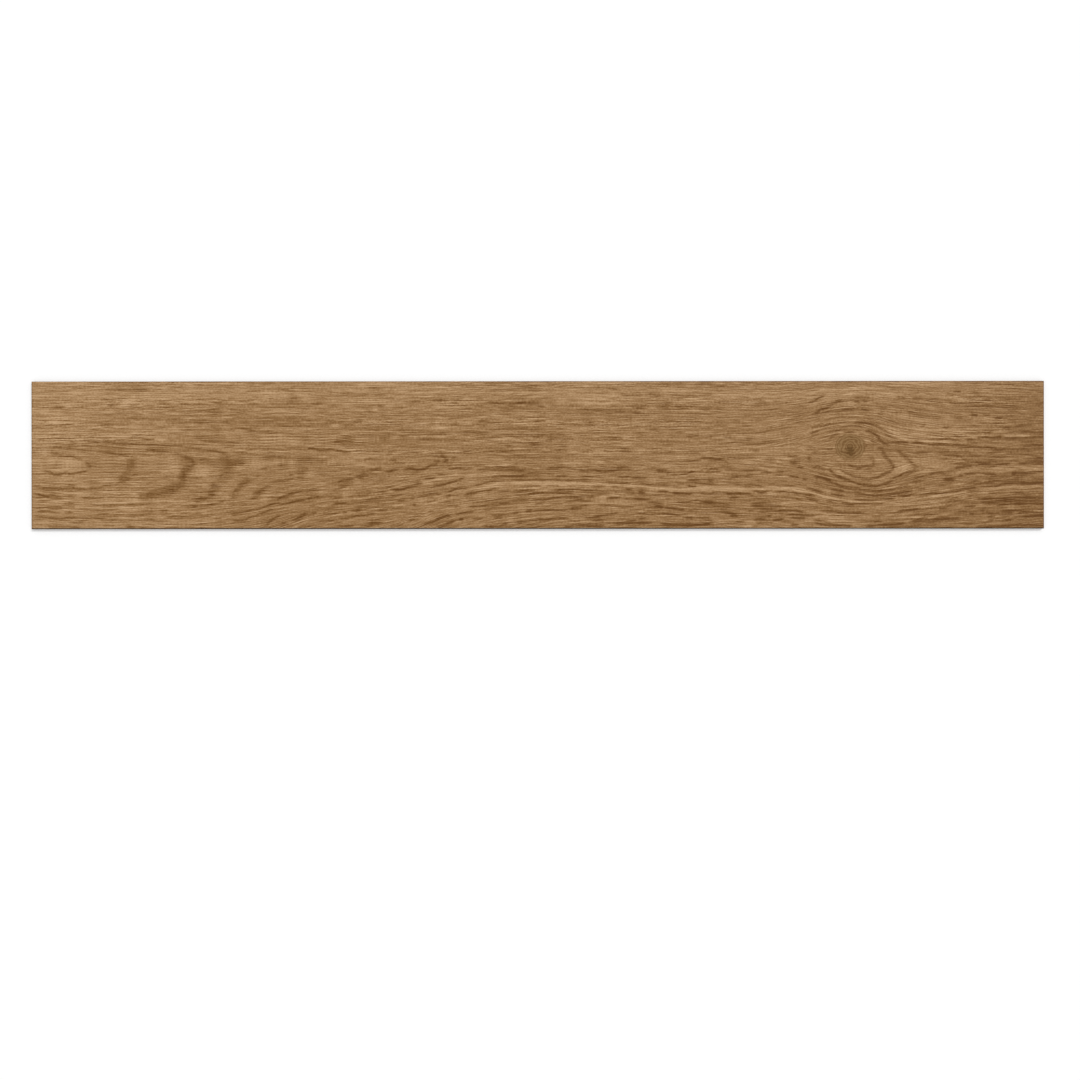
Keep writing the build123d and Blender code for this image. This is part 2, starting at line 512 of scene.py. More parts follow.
RIGHT_OF_MIDDLE = (
    dark(2, 90, (629, -26), (647, -25.5)),
    dark(2, 80, (658, -26), (690, -26)),
    dark(1.9, 65, (705, -26.5), (721, -26)),
    dark(2, 85, (721, -28), (731, -27), (743, -27.5)),
    dark(1.9, 60, (755, -27), (763, -28.5)),
    dark(2, 65, (618, -14), (631, -15.5), (642, -14.5), (652, -15.5)),
    dark(1.9, 40, (618, -17), (641, -17.5)),
    dark(2.4, 80, (656, -19), (672, -19.5), (677, -18.5), (683, -19.5), (697, -19.5), (708, -17),
         (726, -17.5)),
    dark(1.9, 60, (705, -14.5), (722, -14.5)),
    dark(2, 75, (750, -18), (767, -18)),
    dark(1.9, 65, (751, -19.5), (762, -20)),
    dark(2.6, 70, (764, -21), (768, -23.5)),
    dark(2.1, 85, (767, -23), (776, -24), (788, -23), (795, -20.5), (802, -19.5)),
    dark(2.1, 80, (800, -20), (806, -18), (812, -17.5), (815, -19), (818, -17), (829, -18)),
    dark(1.9, 65, (819, -20), (831, -20.5)),
    dark(2.2, 100, (707, -34), (723, -34.5)),
    dark(2.1, 90, (731, -34.5), (742, -36), (769, -37)),
    dark(1.9, 65, (770, -38), (785, -39.5)),
    dark(1.9, 60, (618, -37), (638, -37)),
    dark(2, 80, (672, -37.5), (692, -38)),
    dark(2.1, 75, (697, -39), (702, -38), (709, -39.5)),
    dark(2.5, 90, (715, -41), (724, -41)),
    dark(2.1, 85, (630, -41.5), (651, -41.5), (666, -40.5)),
    dark(1.9, 50, (664, -42.5), (676, -42)),
    dark(2, 75, (730, -43), (739, -42.5)),
    dark(2, 75, (730, -45.5), (740, -45.5)),
    dark(1.9, 50, (715, -46), (727, -45.5)),
    dark(2, 85, (752, -44), (768, -44)),
    dark(2.4, 95, (618, -53.5), (630, -51.5), (671, -50.5), (681, -52)),
    dark(2.3, 100, (691, -52), (710, -51.5)),
    dark(2, 85, (711, -52.5), (748, -53.5)),
    dark(2, 70, (762, -52.5), (770, -52.5)),
    dark(2.1, 85, (638, -56.5), (648, -56), (668, -53)),
    dark(1.9, 50, (659, -55.5), (678, -55.5)),
    dark(1.9, 65, (739, -57), (749, -57), (763, -59.5)),
    dark(3.4, 85, (647, -66), (652, -64), (658, -64), (664, -64.5)),
    dark(2, 75, (658, -62.5), (665, -61), (672, -62)),
    dark(1.9, 65, (680, -60), (698, -61.5)),
    dark(2.6, 100, (749, -61.5), (762, -63)),
    dark(2.1, 85, (760, -63), (768, -64), (780, -63.5)),
    dark(2.1, 90, (769, -65.5), (777, -65.5), (789, -66.5)),
    dark(2.2, 90, (675, -73), (684, -73), (709, -69.5)),
    dark(2.1, 90, (663, -75.5), (688, -75.5)),
    dark(1.9, 50, (659, -72.5), (674, -72)),
    dark(1.9, 65, (730, -69.5), (739, -70.5)),
    dark(2.1, 80, (755, -70), (785, -73.5)),
    dark(1.9, 65, (731, -76.5), (741, -76)),
    dark(2, 80, (715, -79), (729, -78.5)),
    dark(1.9, 60, (673, -79), (690, -78)),
    dark(1.9, 50, (646, -79.5), (662, -79.5)),
    dark(3.2, 95, (639, -86), (650, -86), (656, -84.5), (693, -85)),
    dark(2.5, 100, (699, -83), (751, -81.5)),
    dark(2.5, 95, (755, -83), (780, -84.5), (801, -84.5), (823, -82)),
    dark(2.6, 85, (803, -2.5), (828, -5), (835, -8), (842, -10)),
    dark(2.1, 70, (829, -13.5), (838, -14.5), (848, -14.5)),
    dark(2.5, 60, (839, -25), (840, -28.5), (857, -24)),
    dark(2.3, 100, (876, -21.5), (893, -21)),
    dark(1.9, 65, (895, -24), (905, -24)),
    dark(1.9, 65, (895, -20), (908, -20.5)),
    dark(2.2, 85, (911, -25), (925, -28)),
    dark(2.3, 80, (928, -29.5), (934, -30)),
    dark(1.9, 65, (909, -2), (918, -2), (924, -0.5)),
    dark(2.6, 85, (921, -14.5), (931, -15.5)),
    dark(1.9, 65, (788, -31), (806, -29.5)),
    dark(2.1, 65, (813, -31.5), (821, -32)),
    dark(1.9, 50, (800, -29), (812, -29.5), (839, -28)),
    dark(2.6, 85, (789, -36), (795, -38), (801, -37.5)),
    dark(1.9, 50, (774, -39.5), (790, -39.5)),
    dark(1.9, 60, (803, -36), (832, -35)),
    dark(2, 70, (841, -34), (855, -37), (870, -36), (878, -37.5), (886, -37.5)),
    dark(1.9, 65, (884, -36.5), (893, -35.5), (901, -38), (911, -37.5), (924, -38)),
    dark(2.5, 100, (769, -45.5), (785, -47), (799, -46.5)),
    dark(2.6, 100, (803, -45.5), (817, -46.5), (821, -45.5), (834, -45.5), (840, -46.5), (847, -46),
         (860, -46.5), (870, -48)),
    dark(2.2, 100, (866, -44.5), (873, -44), (877, -45.5), (889, -44)),
    dark(2.1, 85, (893, -44.5), (905, -44.5), (912, -46), (918, -45.5), (947, -50)),
    dark(2.2, 80, (774, -56.5), (790, -56), (807, -54)),
    dark(2.4, 90, (802, -55.5), (812, -57), (843, -60)),
    dark(2, 70, (863, -58.5), (881, -58), (887, -59), (895, -58.5)),
    dark(2, 80, (839, -51.5), (852, -51.5)),
    dark(2.1, 85, (816, -61.5), (844, -63)),
    dark(2.2, 95, (862, -61), (906, -62.5)),
    dark(1.9, 65, (789, -67.5), (796, -66.5), (804, -66.5)),
    dark(2.1, 85, (817, -68), (827, -68.5), (852, -72)),
    dark(2.3, 100, (840, -73), (852, -73.5)),
    dark(2, 80, (876, -65), (898, -65)),
    dark(2.1, 95, (895, -68), (914, -67), (933, -69)),
    dark(2.1, 80, (885, -73.5), (892, -74.5)),
    dark(2, 80, (783, -75.5), (797, -75.5)),
    dark(1.9, 50, (798, -75.5), (817, -75.5)),
    dark(2.1, 85, (869, -78), (885, -78)),
    dark(2.5, 100, (892, -78.5), (900, -78), (907, -77)),
    dark(2.1, 85, (870, -82), (896, -81.5)),
    dark(1.9, 65, (847, -80.5), (860, -80)),
    GrainCloud(681, 711, -19, -12.5, 35),
    GrainCloud(814, 836, -10, -3.5, 30),
    GrainCloud(856, 870, -26, -21.8, 90),
    GrainCloud(914.5, 922.5, -12.8, -7, 80),
)

KNOT_LOOPS = (
    dark(2.4, 85, (981, -10.5), (989, -14), (1001, -15), (1006, -13.5), (1010, -11)),
    dark(2.4, 80, (991, -17.5), (1002, -15.5)),
    dark(3.2, 55, (1009, 0), (1013, -6), (1014, -11), (1011, -15), (1003, -17)),
    dark(3.6, 80, (1023, 8), (1027, -1), (1031, -5), (1037, -13), (1037, -17), (1034, -20), (1020, -26)),
    dark(2.5, 70, (1035, -19), (1021, -26), (1015, -27.5), (1006, -28.5), (998, -27.5), (988, -25.5),
         (971, -17)),
    dark(4.2, 65, (1042, 8), (1046, 2), (1063, -12), (1064, -17), (1060, -20.5), (1044, -27)),
    dark(3.2, 85, (1062, -19.5), (1050, -23.5), (1029, -34.5), (1020, -37), (1012, -38), (1003, -37),
         (995, -35), (974, -27.5), (968, -24.5), (963, -20), (958, -13)),
    dark(2.1, 75, (939, -16.5), (946, -14.5), (959, -21)),
    dark(3.2, 95, (940, -25.5), (955, -28.5), (966, -34)),
    dark(2.3, 85, (963, -33), (974, -37.5), (986, -40), (995, -41.5), (1016, -43.5), (1037, -41.5),
         (1059, -35.5)),
    dark(1.9, 60, (938, -33), (946, -34.5), (951, -37), (961, -38.5)),
    dark(2.2, 85, (960, -40.5), (981, -44.5)),
    dark(2.2, 85, (991, -47), (1019, -49), (1061, -43.5)),
    dark(2.2, 90, (929, -41), (937, -41.5), (957, -46.5)),
    dark(2.1, 85, (962, -47.5), (980, -50)),
    dark(1.9, 65, (904, -52.5), (930, -52.5), (951, -56.5)),
    dark(2.3, 60, (961, -54.5), (967, -54.5)),
    dark(2.1, 75, (972, -57.5), (991, -59), (1029, -58.5)),
    dark(2.1, 85, (987, -53.5), (1000, -54.5), (1033, -53.5), (1042, -52)),
    dark(2.2, 90, (948, -67), (955, -67), (970, -69), (985, -70), (1006, -70)),
    dark(2.2, 95, (1040, -70), (1047, -67.5), (1072, -65)),
    dark(2.2, 100, (907, -72.5), (917, -72), (946, -73.5)),
    dark(2.2, 95, (911, -76), (936, -76.5)),
    dark(2.1, 80, (939, -79), (961, -79)),
    dark(2.4, 90, (914, -84), (925, -84.5)),
    dark(2.6, 100, (942, -82), (950, -83.5), (972, -85), (991, -85.5)),
    dark(2.6, 100, (1004, -86), (1040, -84), (1053, -82)),
    dark(2.6, 60, (987, -79.5), (1005, -80), (1027, -79.5)),
    dark(2.3, 70, (988, 39.5), (1001, 38.5), (1010, 37), (1022, 32), (1032, 26)),
    dark(2.4, 95, (1002, 30.5), (1013, 27.5), (1024, 16), (1029, 14), (1040, 15), (1060, 14.5)),
    dark(2.4, 70, (1056, 14.5), (1068, 14.5), (1080, 13), (1109, 12)),
    dark(2, 65, (1105, 12.5), (1132, 9.5), (1165, 8.5)),
    dark(4.5, 35, (1024, 29), (1031, 25.5), (1037, 20.5), (1043, 17)),
    dark(2.1, 65, (975, 28), (991, 28)),
    dark(1.9, 50, (972, 32.5), (984, 34.5), (995, 34.5), (1004, 32)),
    dark(2.4, 75, (937, 26.5), (944, 28), (949, 30)),
    dark(2, 65, (938, 22.5), (948, 24.5)),
    dark(2, 65, (958, 17), (961, 19.5), (968, 24.5), (975, 26)),
    dark(2, 55, (959, 26.5), (967, 29), (975, 29.5)),
    dark(2, 60, (938, 32.5), (946, 35), (954, 38)),
    dark(3.2, 85, (939, 49), (945, 50.5), (950, 54), (955, 56), (965, 61.5), (972, 64.5), (980, 65.5)),
    dark(2.5, 85, (933, 61.5), (942, 65), (950, 69.5), (957, 71)),
    dark(2.2, 80, (974, 54), (992, 54)),
    dark(2, 65, (1000, 55), (1008, 53.5)),
    dark(2.2, 80, (990, 64.5), (998, 63.5)),
    dark(2.1, 70, (1000, 64), (1007, 63.5)),
    dark(2, 60, (989, 68.5), (1011, 69)),
    dark(2.4, 75, (1017, 49.5), (1028, 48.5)),
    dark(2.2, 70, (1018, 8), (1027, 7.5)),
    dark(2, 60, (1010, 18), (1016, 13.5)),
    dark(2, 50, (1025, 7), (1037, 6.5), (1047, 4)),
    dark(2.2, 70, (957, 6), (965, 6.5)),
    dark(2, 60, (939, 2), (947, 3.5)),
    dark(2.5, 60, (937, -0.5), (936, -4.5), (938, -9)),
    dark(2.1, 45, (1000, 21.5), (1002, 16.5), (1004, 11), (1002, 6), (1000, 2)),
    GrainCloud(949, 961, 53, 59, 40),
    GrainCloud(959, 970, -35.5, -30.5, 40),
    GrainCloud(1029, 1038, 22, 27, 40),
)

RIGHT_LINES = (
    dark(2.6, 90, (1044, -50), (1058, -49.5), (1075, -47.5), (1085, -47), (1111, -44.5), (1121, -41.5),
         (1128, -40.5), (1142, -40)),
    dark(2.6, 90, (1139, -38), (1160, -38), (1175, -35), (1223, -34)),
    dark(2, 59, (1062, -40.5), (1077, -40.5)),
    dark(1.9, 36, (1148, -45.5), (1175, -46)),
    dark(1.9, 54, (1150, -47), (1162, -46.5)),
    dark(2, 72, (1183, -46), (1197, -45.5)),
    dark(1.9, 59, (1111, -52), (1123, -51.5)),
    dark(2.2, 81, (1135, -53.5), (1223, -51.5)),
    dark(1.9, 63, (1100, -56.5), (1109, -56), (1123, -54)),
    dark(2, 68, (1158, -56), (1223, -55)),
    dark(2.1, 72, (1140, -58), (1163, -57)),
    dark(2.1, 77, (1159, -61.5), (1177, -59.5), (1223, -58.5)),
    dark(1.9, 45, (1099, -60), (1110, -60.5)),
    dark(2.3, 81, (1120, -62.5), (1139, -62)),
    dark(1.9, 54, (1092, -65), (1102, -64.5)),
    dark(2, 72, (1111, -69), (1151, -67)),
    dark(2.1, 77, (1165, -67.5), (1201, -67)),
    dark(2.1, 77, (1150, -71), (1161, -71)),
    dark(2.2, 81, (1158, -70), (1186, -70)),
    dark(2.1, 63, (1129, -71), (1136, -71.5)),
    dark(2, 63, (1184, -70), (1223, -69.5)),
    dark(2.1, 77, (1150, -75), (1162, -74.5)),
    dark(2.1, 77, (1189, -74.5), (1223, -74)),
    dark(2.2, 81, (1169, -78.5), (1182, -78.5)),
    dark(2.1, 72, (1151, -78.5), (1159, -79)),
    dark(2.6, 90, (1056, -80), (1120, -76.5)),
    dark(2.1, 54, (1119, -83.5), (1141, -83)),
    dark(2.6, 77, (1135, -87), (1160, -86.5), (1180, -85), (1223, -84.5)),
    dark(2, 59, (1096, -0.5), (1111, -1), (1119, -3)),
    dark(2, 59, (1118, -5.5), (1127, -5.5)),
    dark(2, 59, (1151, -7), (1163, -5.5)),
    dark(3.4, 81, (1120, -13.5), (1128, -14.5), (1134, -13)),
    dark(2.2, 77, (1111, -16), (1117, -15.5), (1124, -16.5)),
    dark(2, 59, (1111, -18), (1120, -18)),
    dark(2.1, 68, (1138, -11.5), (1149, -10.5), (1159, -10.5)),
    dark(2.6, 77, (1150, -14.5), (1159, -14), (1164, -12), (1182, -10.5)),
    dark(2.6, 59, (1186, -11), (1199, -10), (1223, -9)),
    dark(2.2, 77, (1119, -22), (1127, -23), (1136, -22), (1149, -22.5), (1164, -24)),
    dark(2.2, 77, (1178, -21.5), (1191, -21.5), (1223, -19.5)),
    dark(3.2, 90, (1180, -23), (1186, -23)),
    dark(2.3, 72, (1116, -24), (1121, -24)),
    dark(1.9, 45, (1113, -26.5), (1123, -25.5)),
    dark(3.2, 90, (1096, -29.5), (1104, -30), (1112, -29.5)),
    dark(3.2, 77, (1079, -24), (1085, -22), (1091, -21), (1098, -22), (1104, -24)),
    dark(2, 63, (1101, -19.5), (1111, -19)),
    dark(2.4, 72, (1061, -27), (1078, -26.5)),
    dark(2.6, 36, (1067, -13), (1072, -15), (1074, -20)),
    dark(2, 45, (1086, -37.5), (1102, -37)),
    dark(2.1, 77, (1059, 67.5), (1075, 67.5)),
    dark(1.9, 54, (1076, 65.5), (1085, 64.5)),
    dark(2, 59, (1078, 62.5), (1102, 62.5)),
    dark(2.1, 77, (1107, 62.5), (1146, 62.5)),
    dark(2.4, 81, (1109, 76), (1120, 76)),
    dark(2, 54, (1101, 73), (1112, 71)),
    dark(2, 63, (1130, 74.5), (1143, 74.5)),
    dark(2, 59, (1144, 48), (1155, 48)),
    dark(2, 59, (1130, 48), (1140, 46.5)),
    dark(2, 54, (1159, 44.5), (1169, 44)),
    dark(2.5, 81, (1168, 32.5), (1180, 32.5)),
    dark(2, 54, (1183, 34), (1197, 34.5)),
    dark(2.1, 68, (1135, 27.5), (1160, 27.5)),
    dark(2.5, 59, (1186, 27), (1223, 26.5)),
    dark(2.2, 77, (1135, 20.5), (1153, 20.5), (1170, 21.5), (1176, 20.5), (1223, 21)),
    dark(2, 63, (1079, 19.5), (1119, 18)),
    dark(2, 54, (1123, 18), (1132, 18)),
    dark(2.1, 68, (1191, 15.5), (1209, 15.5)),
    dark(2.4, 68, (1188, 12), (1223, 12)),
    dark(1.9, 45, (1148, 2), (1171, 2.5)),
    dark(1.9, 45, (1107, 0), (1120, -0.5)),
    dark(2.5, 72, (1070, 34.5), (1076, 35)),
    dark(2, 63, (1096, 32.5), (1105, 32.5)),
    GrainCloud(1102, 1113, -32.5, -27, 60),
    GrainCloud(1058, 1074, -36, -29.5, 40),
    GrainCloud(1196, 1226, -9.5, -2.5, 35),
    GrainCloud(1119, 1166, -13.5, -2.5, 22),
)

EDGE_DASHES = (
    dark(2.1, 60, (88, 79), (144, 78)),
    dark(2, 51, (46, 81), (63, 81)),
    dark(2, 54, (90, 61), (99, 60)),
    dark(1.9, 42, (21, 57), (41, 57)),
    dark(2.1, 57, (299, 79), (312, 79)),
    dark(2, 54, (336, 62), (351, 61)),
    dark(2, 42, (229, 40.5), (238, 40.5)),
    dark(2, 48, (249, 32.5), (272, 31)),
    dark(2, 54, (481, 66.5), (496, 66.5)),
    dark(2.3, 60, (504, 63), (516, 63)),
    dark(1.9, 36, (409, 72.5), (431, 72)),
    dark(2.2, 60, (416, 59.5), (426, 59.5)),
    dark(2, 51, (518, 28), (553, 27.5)),
    dark(2, 48, (520, 56), (532, 56)),
    dark(2, 48, (581, 81), (613, 82.5)),
    dark(2, 48, (611, 58), (621, 58)),
    dark(1.9, 36, (584, 47), (596, 46.5)),
    dark(2, 54, (605, 41), (621, 41)),
    dark(2.2, 60, (599, 13.5), (613, 13.5)),
    dark(2, 48, (636, 10.5), (646, 10)),
    dark(2.1, 60, (706, 8), (721, 8)),
    dark(2.1, 57, (709, 72), (739, 72)),
    dark(2, 51, (819, 65), (841, 64.5)),
    dark(1.9, 39, (844, 70), (870, 69)),
    dark(1.9, 39, (699, 51), (738, 51)),
    dark(2, 48, (747, 41), (755, 41)),
    dark(2.1, 57, (774, 40), (783, 40)),
    dark(2.2, 60, (861, 5.5), (876, 5.5)),
    dark(2.1, 51, (1054, 51.5), (1064, 51.5)),
    GrainCloud(98, 162, 43, 52, 25),
)

PALE_LINES = (
    pale(2.3, 90, (70, -55), (79, -58), (90, -58), (142, -55), (186, -54.5)),
    pale(2.1, 60, (189, -57.5), (225, -56)),
    pale(2.1, 70, (36, -46), (79, -46)),
    pale(2.1, 60, (19, -55), (34, -55.5), (49, -55)),
    pale(2.1, 80, (49, -62.5), (63, -62.5), (89, -63.5)),
    pale(2.1, 60, (54, -37.5), (74, -37.5)),
    pale(1.9, 50, (30, -29), (64, -29)),
    pale(1.9, 60, (154, -64), (166, -64.5), (188, -62.5)),
    pale(2.1, 70, (186, -68), (199, -68)),
    pale(2.1, 80, (345, -44.5), (358, -44)),
    pale(2.1, 70, (400, -14), (418, -14.5)),
    pale(2.3, 80, (448, -10), (456, -10)),
    pale(1.9, 50, (376, -41), (392, -40)),
    pale(1.9, 60, (403, -67.5), (416, -67.5)),
    pale(2.1, 80, (433, -61.5), (452, -60)),
    pale(3.2, 80, (480, -51), (500, -46.5), (510, -46), (518, -43.5), (548, -38)),
    pale(4.4, 100, (538, -39.5), (566, -34.5), (580, -34), (686, -35)),
    pale(2.6, 80, (678, -35), (721, -37), (751, -39.5), (759, -41)),
    pale(4.6, 100, (750, -40), (774, -42), (817, -41)),
    pale(6.4, 95, (797, -40.5), (828, -40.5), (861, -41.5)),
    pale(3.8, 85, (848, -41.5), (897, -40), (918, -41), (927, -42), (937, -45)),
    pale(2.3, 100, (525, -24.5), (560, -23), (600, -22.5)),
    pale(1.9, 40, (598, -22.5), (626, -23.5)),
    pale(2.1, 90, (543, -12), (585, -12)),
    pale(2.1, 60, (555, -6), (571, -5.5)),
    pale(2.1, 60, (507, -8.5), (530, -8)),
    pale(2.1, 60, (510, -3), (524, -1), (543, -0.5)),
    pale(2.1, 65, (588, -50), (632, -49)),
    pale(2.1, 80, (481, -57), (489, -57)),
    pale(2.1, 80, (498, -64), (509, -64)),
    pale(2.1, 60, (469, -34.5), (484, -34.5)),
    pale(2.1, 80, (778, -55.5), (794, -55)),
    pale(2.2, 90, (874, -18), (900, -17.5)),
    pale(2.1, 80, (890, -7), (903, -7)),
    pale(1.9, 50, (837, -7.5), (850, -7.5)),
    pale(2.1, 85, (801, -28), (818, -28.5)),
    pale(2.4, 100, (900, -58), (920, -57), (950, -58)),
    pale(2.1, 75, (908, -70), (920, -69.5)),
    pale(2.2, 90, (638, -10.5), (666, -10.5)),
    pale(2, 65, (629, -24), (641, -24)),
    pale(2.1, 85, (681, -49.5), (711, -49.5)),
    pale(2.1, 80, (638, -58.5), (648, -58.5)),
    pale(2.2, 80, (971, 36), (996, 36)),
    pale(2, 60, (970, 26.5), (982, 27)),
    pale(2.4, 95, (990, 26), (1001, 27), (1006, 25), (1012, 25)),
    pale(2.1, 75, (999, 16.5), (1012, 16.5)),
    pale(2.1, 70, (929, 26), (937, 25)),
    pale(2.1, 75, (898, 20), (921, 20.5)),
    pale(2.1, 75, (930, 15), (942, 16)),
    pale(2.1, 75, (1017, 35.5), (1029, 34.5)),
    pale(2.1, 60, (1043, 20.5), (1057, 20)),
    pale(2.1, 70, (989, 47.5), (1005, 47.5)),
    pale(2, 50, (956, 47), (975, 46.5)),
    pale(3.3, 80, (962, -21), (974, -22), (989, -28.5)),
    pale(2.4, 85, (1030, -20), (1047, -20.5), (1056, -19)),
    pale(3.1, 90, (904, -42.5), (932, -44.5), (942, -47.5), (959, -51), (979, -53), (984, -55),
         (991, -56), (1035, -55.5), (1062, -51), (1100, -48.5), (1130, -44)),
    pale(2.1, 75, (1056, -45.5), (1090, -44.5), (1110, -41)),
    pale(2.6, 95, (1140, -42), (1159, -41), (1190, -38.5), (1223, -38)),
    pale(2.1, 85, (986, -61), (1013, -61)),
    pale(2, 60, (1047, -46), (1060, -46.5)),
    pale(2.6, 95, (1057, 35.5), (1064, 32.5), (1084, 30), (1150, 29.5)),
    pale(2.1, 65, (1147, 29.5), (1186, 28.5)),
    pale(2.4, 95, (1057, 25.5), (1081, 25)),
    pale(2.4, 75, (1096, 25.5), (1113, 26.5), (1121, 26), (1132, 23), (1150, 22.5)),
    pale(2.6, 100, (1147, 22.5), (1207, 23)),
    pale(2.1, 75, (1064, 16.5), (1111, 16), (1132, 16.5)),
    pale(2.2, 85, (1168, 14), (1209, 13)),
    pale(2.2, 70, (1101, 8), (1115, 6), (1120, 4.5)),
    pale(2.1, 80, (1102, 69.5), (1116, 70)),
    pale(2.1, 75, (1110, 64), (1145, 64)),
    pale(2, 60, (1096, 58.5), (1120, 58.5)),
    pale(5.6, 100, (1110, -20), (1130, -17.5), (1149, -17), (1223, -16.5)),
    pale(2.1, 80, (1058, -7.5), (1071, -8.5)),
    pale(2.2, 95, (1134, -23.5), (1151, -24.5)),
    pale(2.2, 95, (1140, -26), (1156, -26.5)),
    pale(2, 65, (1161, -29), (1186, -29)),
    pale(2.1, 85, (1136, -55.5), (1163, -54.5)),
    pale(2.1, 85, (1182, -54), (1208, -53.5)),
    pale(2.1, 80, (1159, -59), (1187, -57.5)),
    pale(1.9, 50, (1059, -55.5), (1076, -55.5)),
    pale(2.1, 75, (1079, -56.5), (1094, -56.5)),
    pale(2, 65, (1088, -53.5), (1102, -52.5)),
    pale(2.1, 75, (1111, -61.5), (1150, -60)),
    pale(2.1, 85, (1137, -68.5), (1151, -68.5)),
    pale(2.1, 75, (1140, -73.5), (1171, -73.5)),
    pale(2.1, 80, (40, 75), (65, 75)),
    pale_patch(40, 63, -11, -6, 35),
    pale_patch(51, 62, -16.5, -9.5, 45),
    pale_patch(75, 88, -12.5, -4.5, 55),
    pale_patch(98, 108, -10, -5, 45),
    pale_patch(152, 182, -13, -0.5, 50),
    pale_patch(156, 177, -26, -13, 50),
    pale_patch(202, 213, -22.5, -13.5, 60),
    pale_patch(195, 216, -27, -17.5, 45),
    pale_patch(281, 291, -42.5, -39, 50),
    pale_patch(270, 291, -57.5, -48.5, 40),
    pale_patch(328, 342, -25, -18, 55),
    pale_patch(383, 399, -40, -36, 45),
    pale_patch(463, 475, -57.5, -52, 45),
    pale_patch(811, 833, -28, -20.5, 35),
    pale_patch(923, 935, 3.5, 9.5, 45),
    pale_patch(1033, 1051, 22, 28.5, 40),
    pale_patch(1041, 1059, -19.5, -9, 55),
    pale_patch(1009, 1030, -8.5, -1.5, 40),
    pale_patch(953, 965, -18.5, -10, 45),
    pale_patch(898, 908, -6.5, -0.5, 45),
    pale_patch(1078, 1107, -19.5, -7.5, 65),
    pale_patch(1066, 1081, -9.5, -2.5, 35),
    pale_patch(1114, 1134, -37.5, -28.5, 55),
)

ALL_MARKS = (*LEFT_ARCHES, *LOWER_LEFT, *MIDDLE_LINES, *RIGHT_OF_MIDDLE, *KNOT_LOOPS,
             *RIGHT_LINES, *EDGE_DASHES, *PALE_LINES)


@dataclass(frozen=True)
class Fibre:
    """One fibre of the oak, which the fine streaks beside it follow.

    Args:
        level: Its height in straight-grained wood, in millimetres from the middle line.
        points: Where it really runs, from left to right in millimetres.
    """

    level: float
    points: tuple[tuple[float, float], ...]

    def height(self, x: ndarray) -> ndarray:
        """Gives the fibre's height at each distance along the plank."""
        given = np.array(self.points, float)
        return np.interp(x, given[:, 0], given[:, 1])


FIBRES = (
    Fibre(-130, ((0, -130), (1219, -130))),
    Fibre(-84, ((0, -118), (420, -118), (500, -104), (556, -88), (605, -81), (660, -76), (757, -74),
                (825, -76), (895, -79), (986, -83), (1093, -80), (1219, -73))),
    Fibre(-71, ((0, -106), (400, -106), (440, -97), (470, -86), (492, -77), (525, -70), (560, -66),
                (600, -63), (660, -59), (740, -61), (800, -65), (900, -67), (986, -72), (1060, -69),
                (1140, -62), (1219, -60))),
    Fibre(-61, ((0, -95), (250, -95), (295, -87), (335, -74), (380, -67), (446, -62), (490, -60),
                (525, -56), (560, -52), (612, -47), (644, -46.5), (700, -49), (780, -51), (860, -53),
                (900, -56), (986, -64), (1060, -60), (1140, -50), (1219, -46))),
    Fibre(-48, ((0, -76), (110, -79), (200, -78), (260, -71), (310, -62), (356, -59), (400, -56),
                (465, -50), (516, -42), (562, -36), (640, -34.5), (700, -37), (750, -41), (785, -43.5),
                (815, -40.5), (870, -41.5), (920, -43), (950, -49.5), (975, -54.5), (1005, -57),
                (1040, -55), (1075, -50.5), (1137, -42.5), (1219, -38))),
    Fibre(-32, ((0, -47), (60, -51), (126, -50), (200, -49), (300, -46), (356, -42), (430, -37),
                (480, -29), (540, -25), (620, -25), (700, -27), (780, -28), (850, -28), (910, -30),
                (950, -36), (986, -43), (1007, -45), (1044, -40), (1080, -31), (1140, -27), (1219, -25))),
    Fibre(-14, ((0, -19), (80, -20), (200, -20), (300, -18), (400, -18), (500, -14), (600, -12),
                (700, -13), (800, -11), (880, -12), (930, -18), (960, -26), (1000, -31), (1040, -27),
                (1065, -18), (1110, -15), (1219, -13))),
    Fibre(2, ((0, 0), (200, 0), (400, 0), (600, 0), (800, 0), (900, 1), (950, 2), (986, 3), (1030, 3),
              (1110, 1), (1219, -1))),
    Fibre(12, ((0, 12), (120, 13), (235, 11), (330, 9), (600, 11), (800, 10), (880, 12), (920, 17),
               (955, 27), (986, 33), (1010, 29), (1025, 20), (1045, 15), (1100, 12), (1219, 10))),
    Fibre(28, ((0, 28), (250, 30), (500, 27), (800, 27), (880, 30), (930, 38), (960, 44), (990, 47),
               (1020, 43), (1050, 34), (1100, 28), (1219, 28))),
    Fibre(50, ((0, 50), (400, 50), (800, 49), (880, 49), (930, 54), (970, 62), (1000, 64), (1040, 60),
               (1100, 52), (1219, 48))),
    Fibre(76, ((0, 75), (130, 76), (400, 74), (600, 77), (800, 75), (900, 75), (960, 80), (1010, 81),
               (1080, 78), (1219, 75))),
    Fibre(110, ((0, 110), (1219, 110))),
)


@dataclass(frozen=True)
class Fray:
    """Small random shifts that roughen the edges of the marks along one axis.

    Args:
        size: The largest shift, in millimetres.
        run: Length of one shift along the grain.
        rise: Breadth of one shift across the grain.
        seed: Number that picks the pattern.
    """

    size: float
    run: float
    rise: float
    seed: int

    def shifts(self, x: ndarray, y: ndarray) -> ndarray:
        """Gives the shift of each point, in millimetres."""
        return self.size * hills(x / self.run, y / self.rise, self.seed)


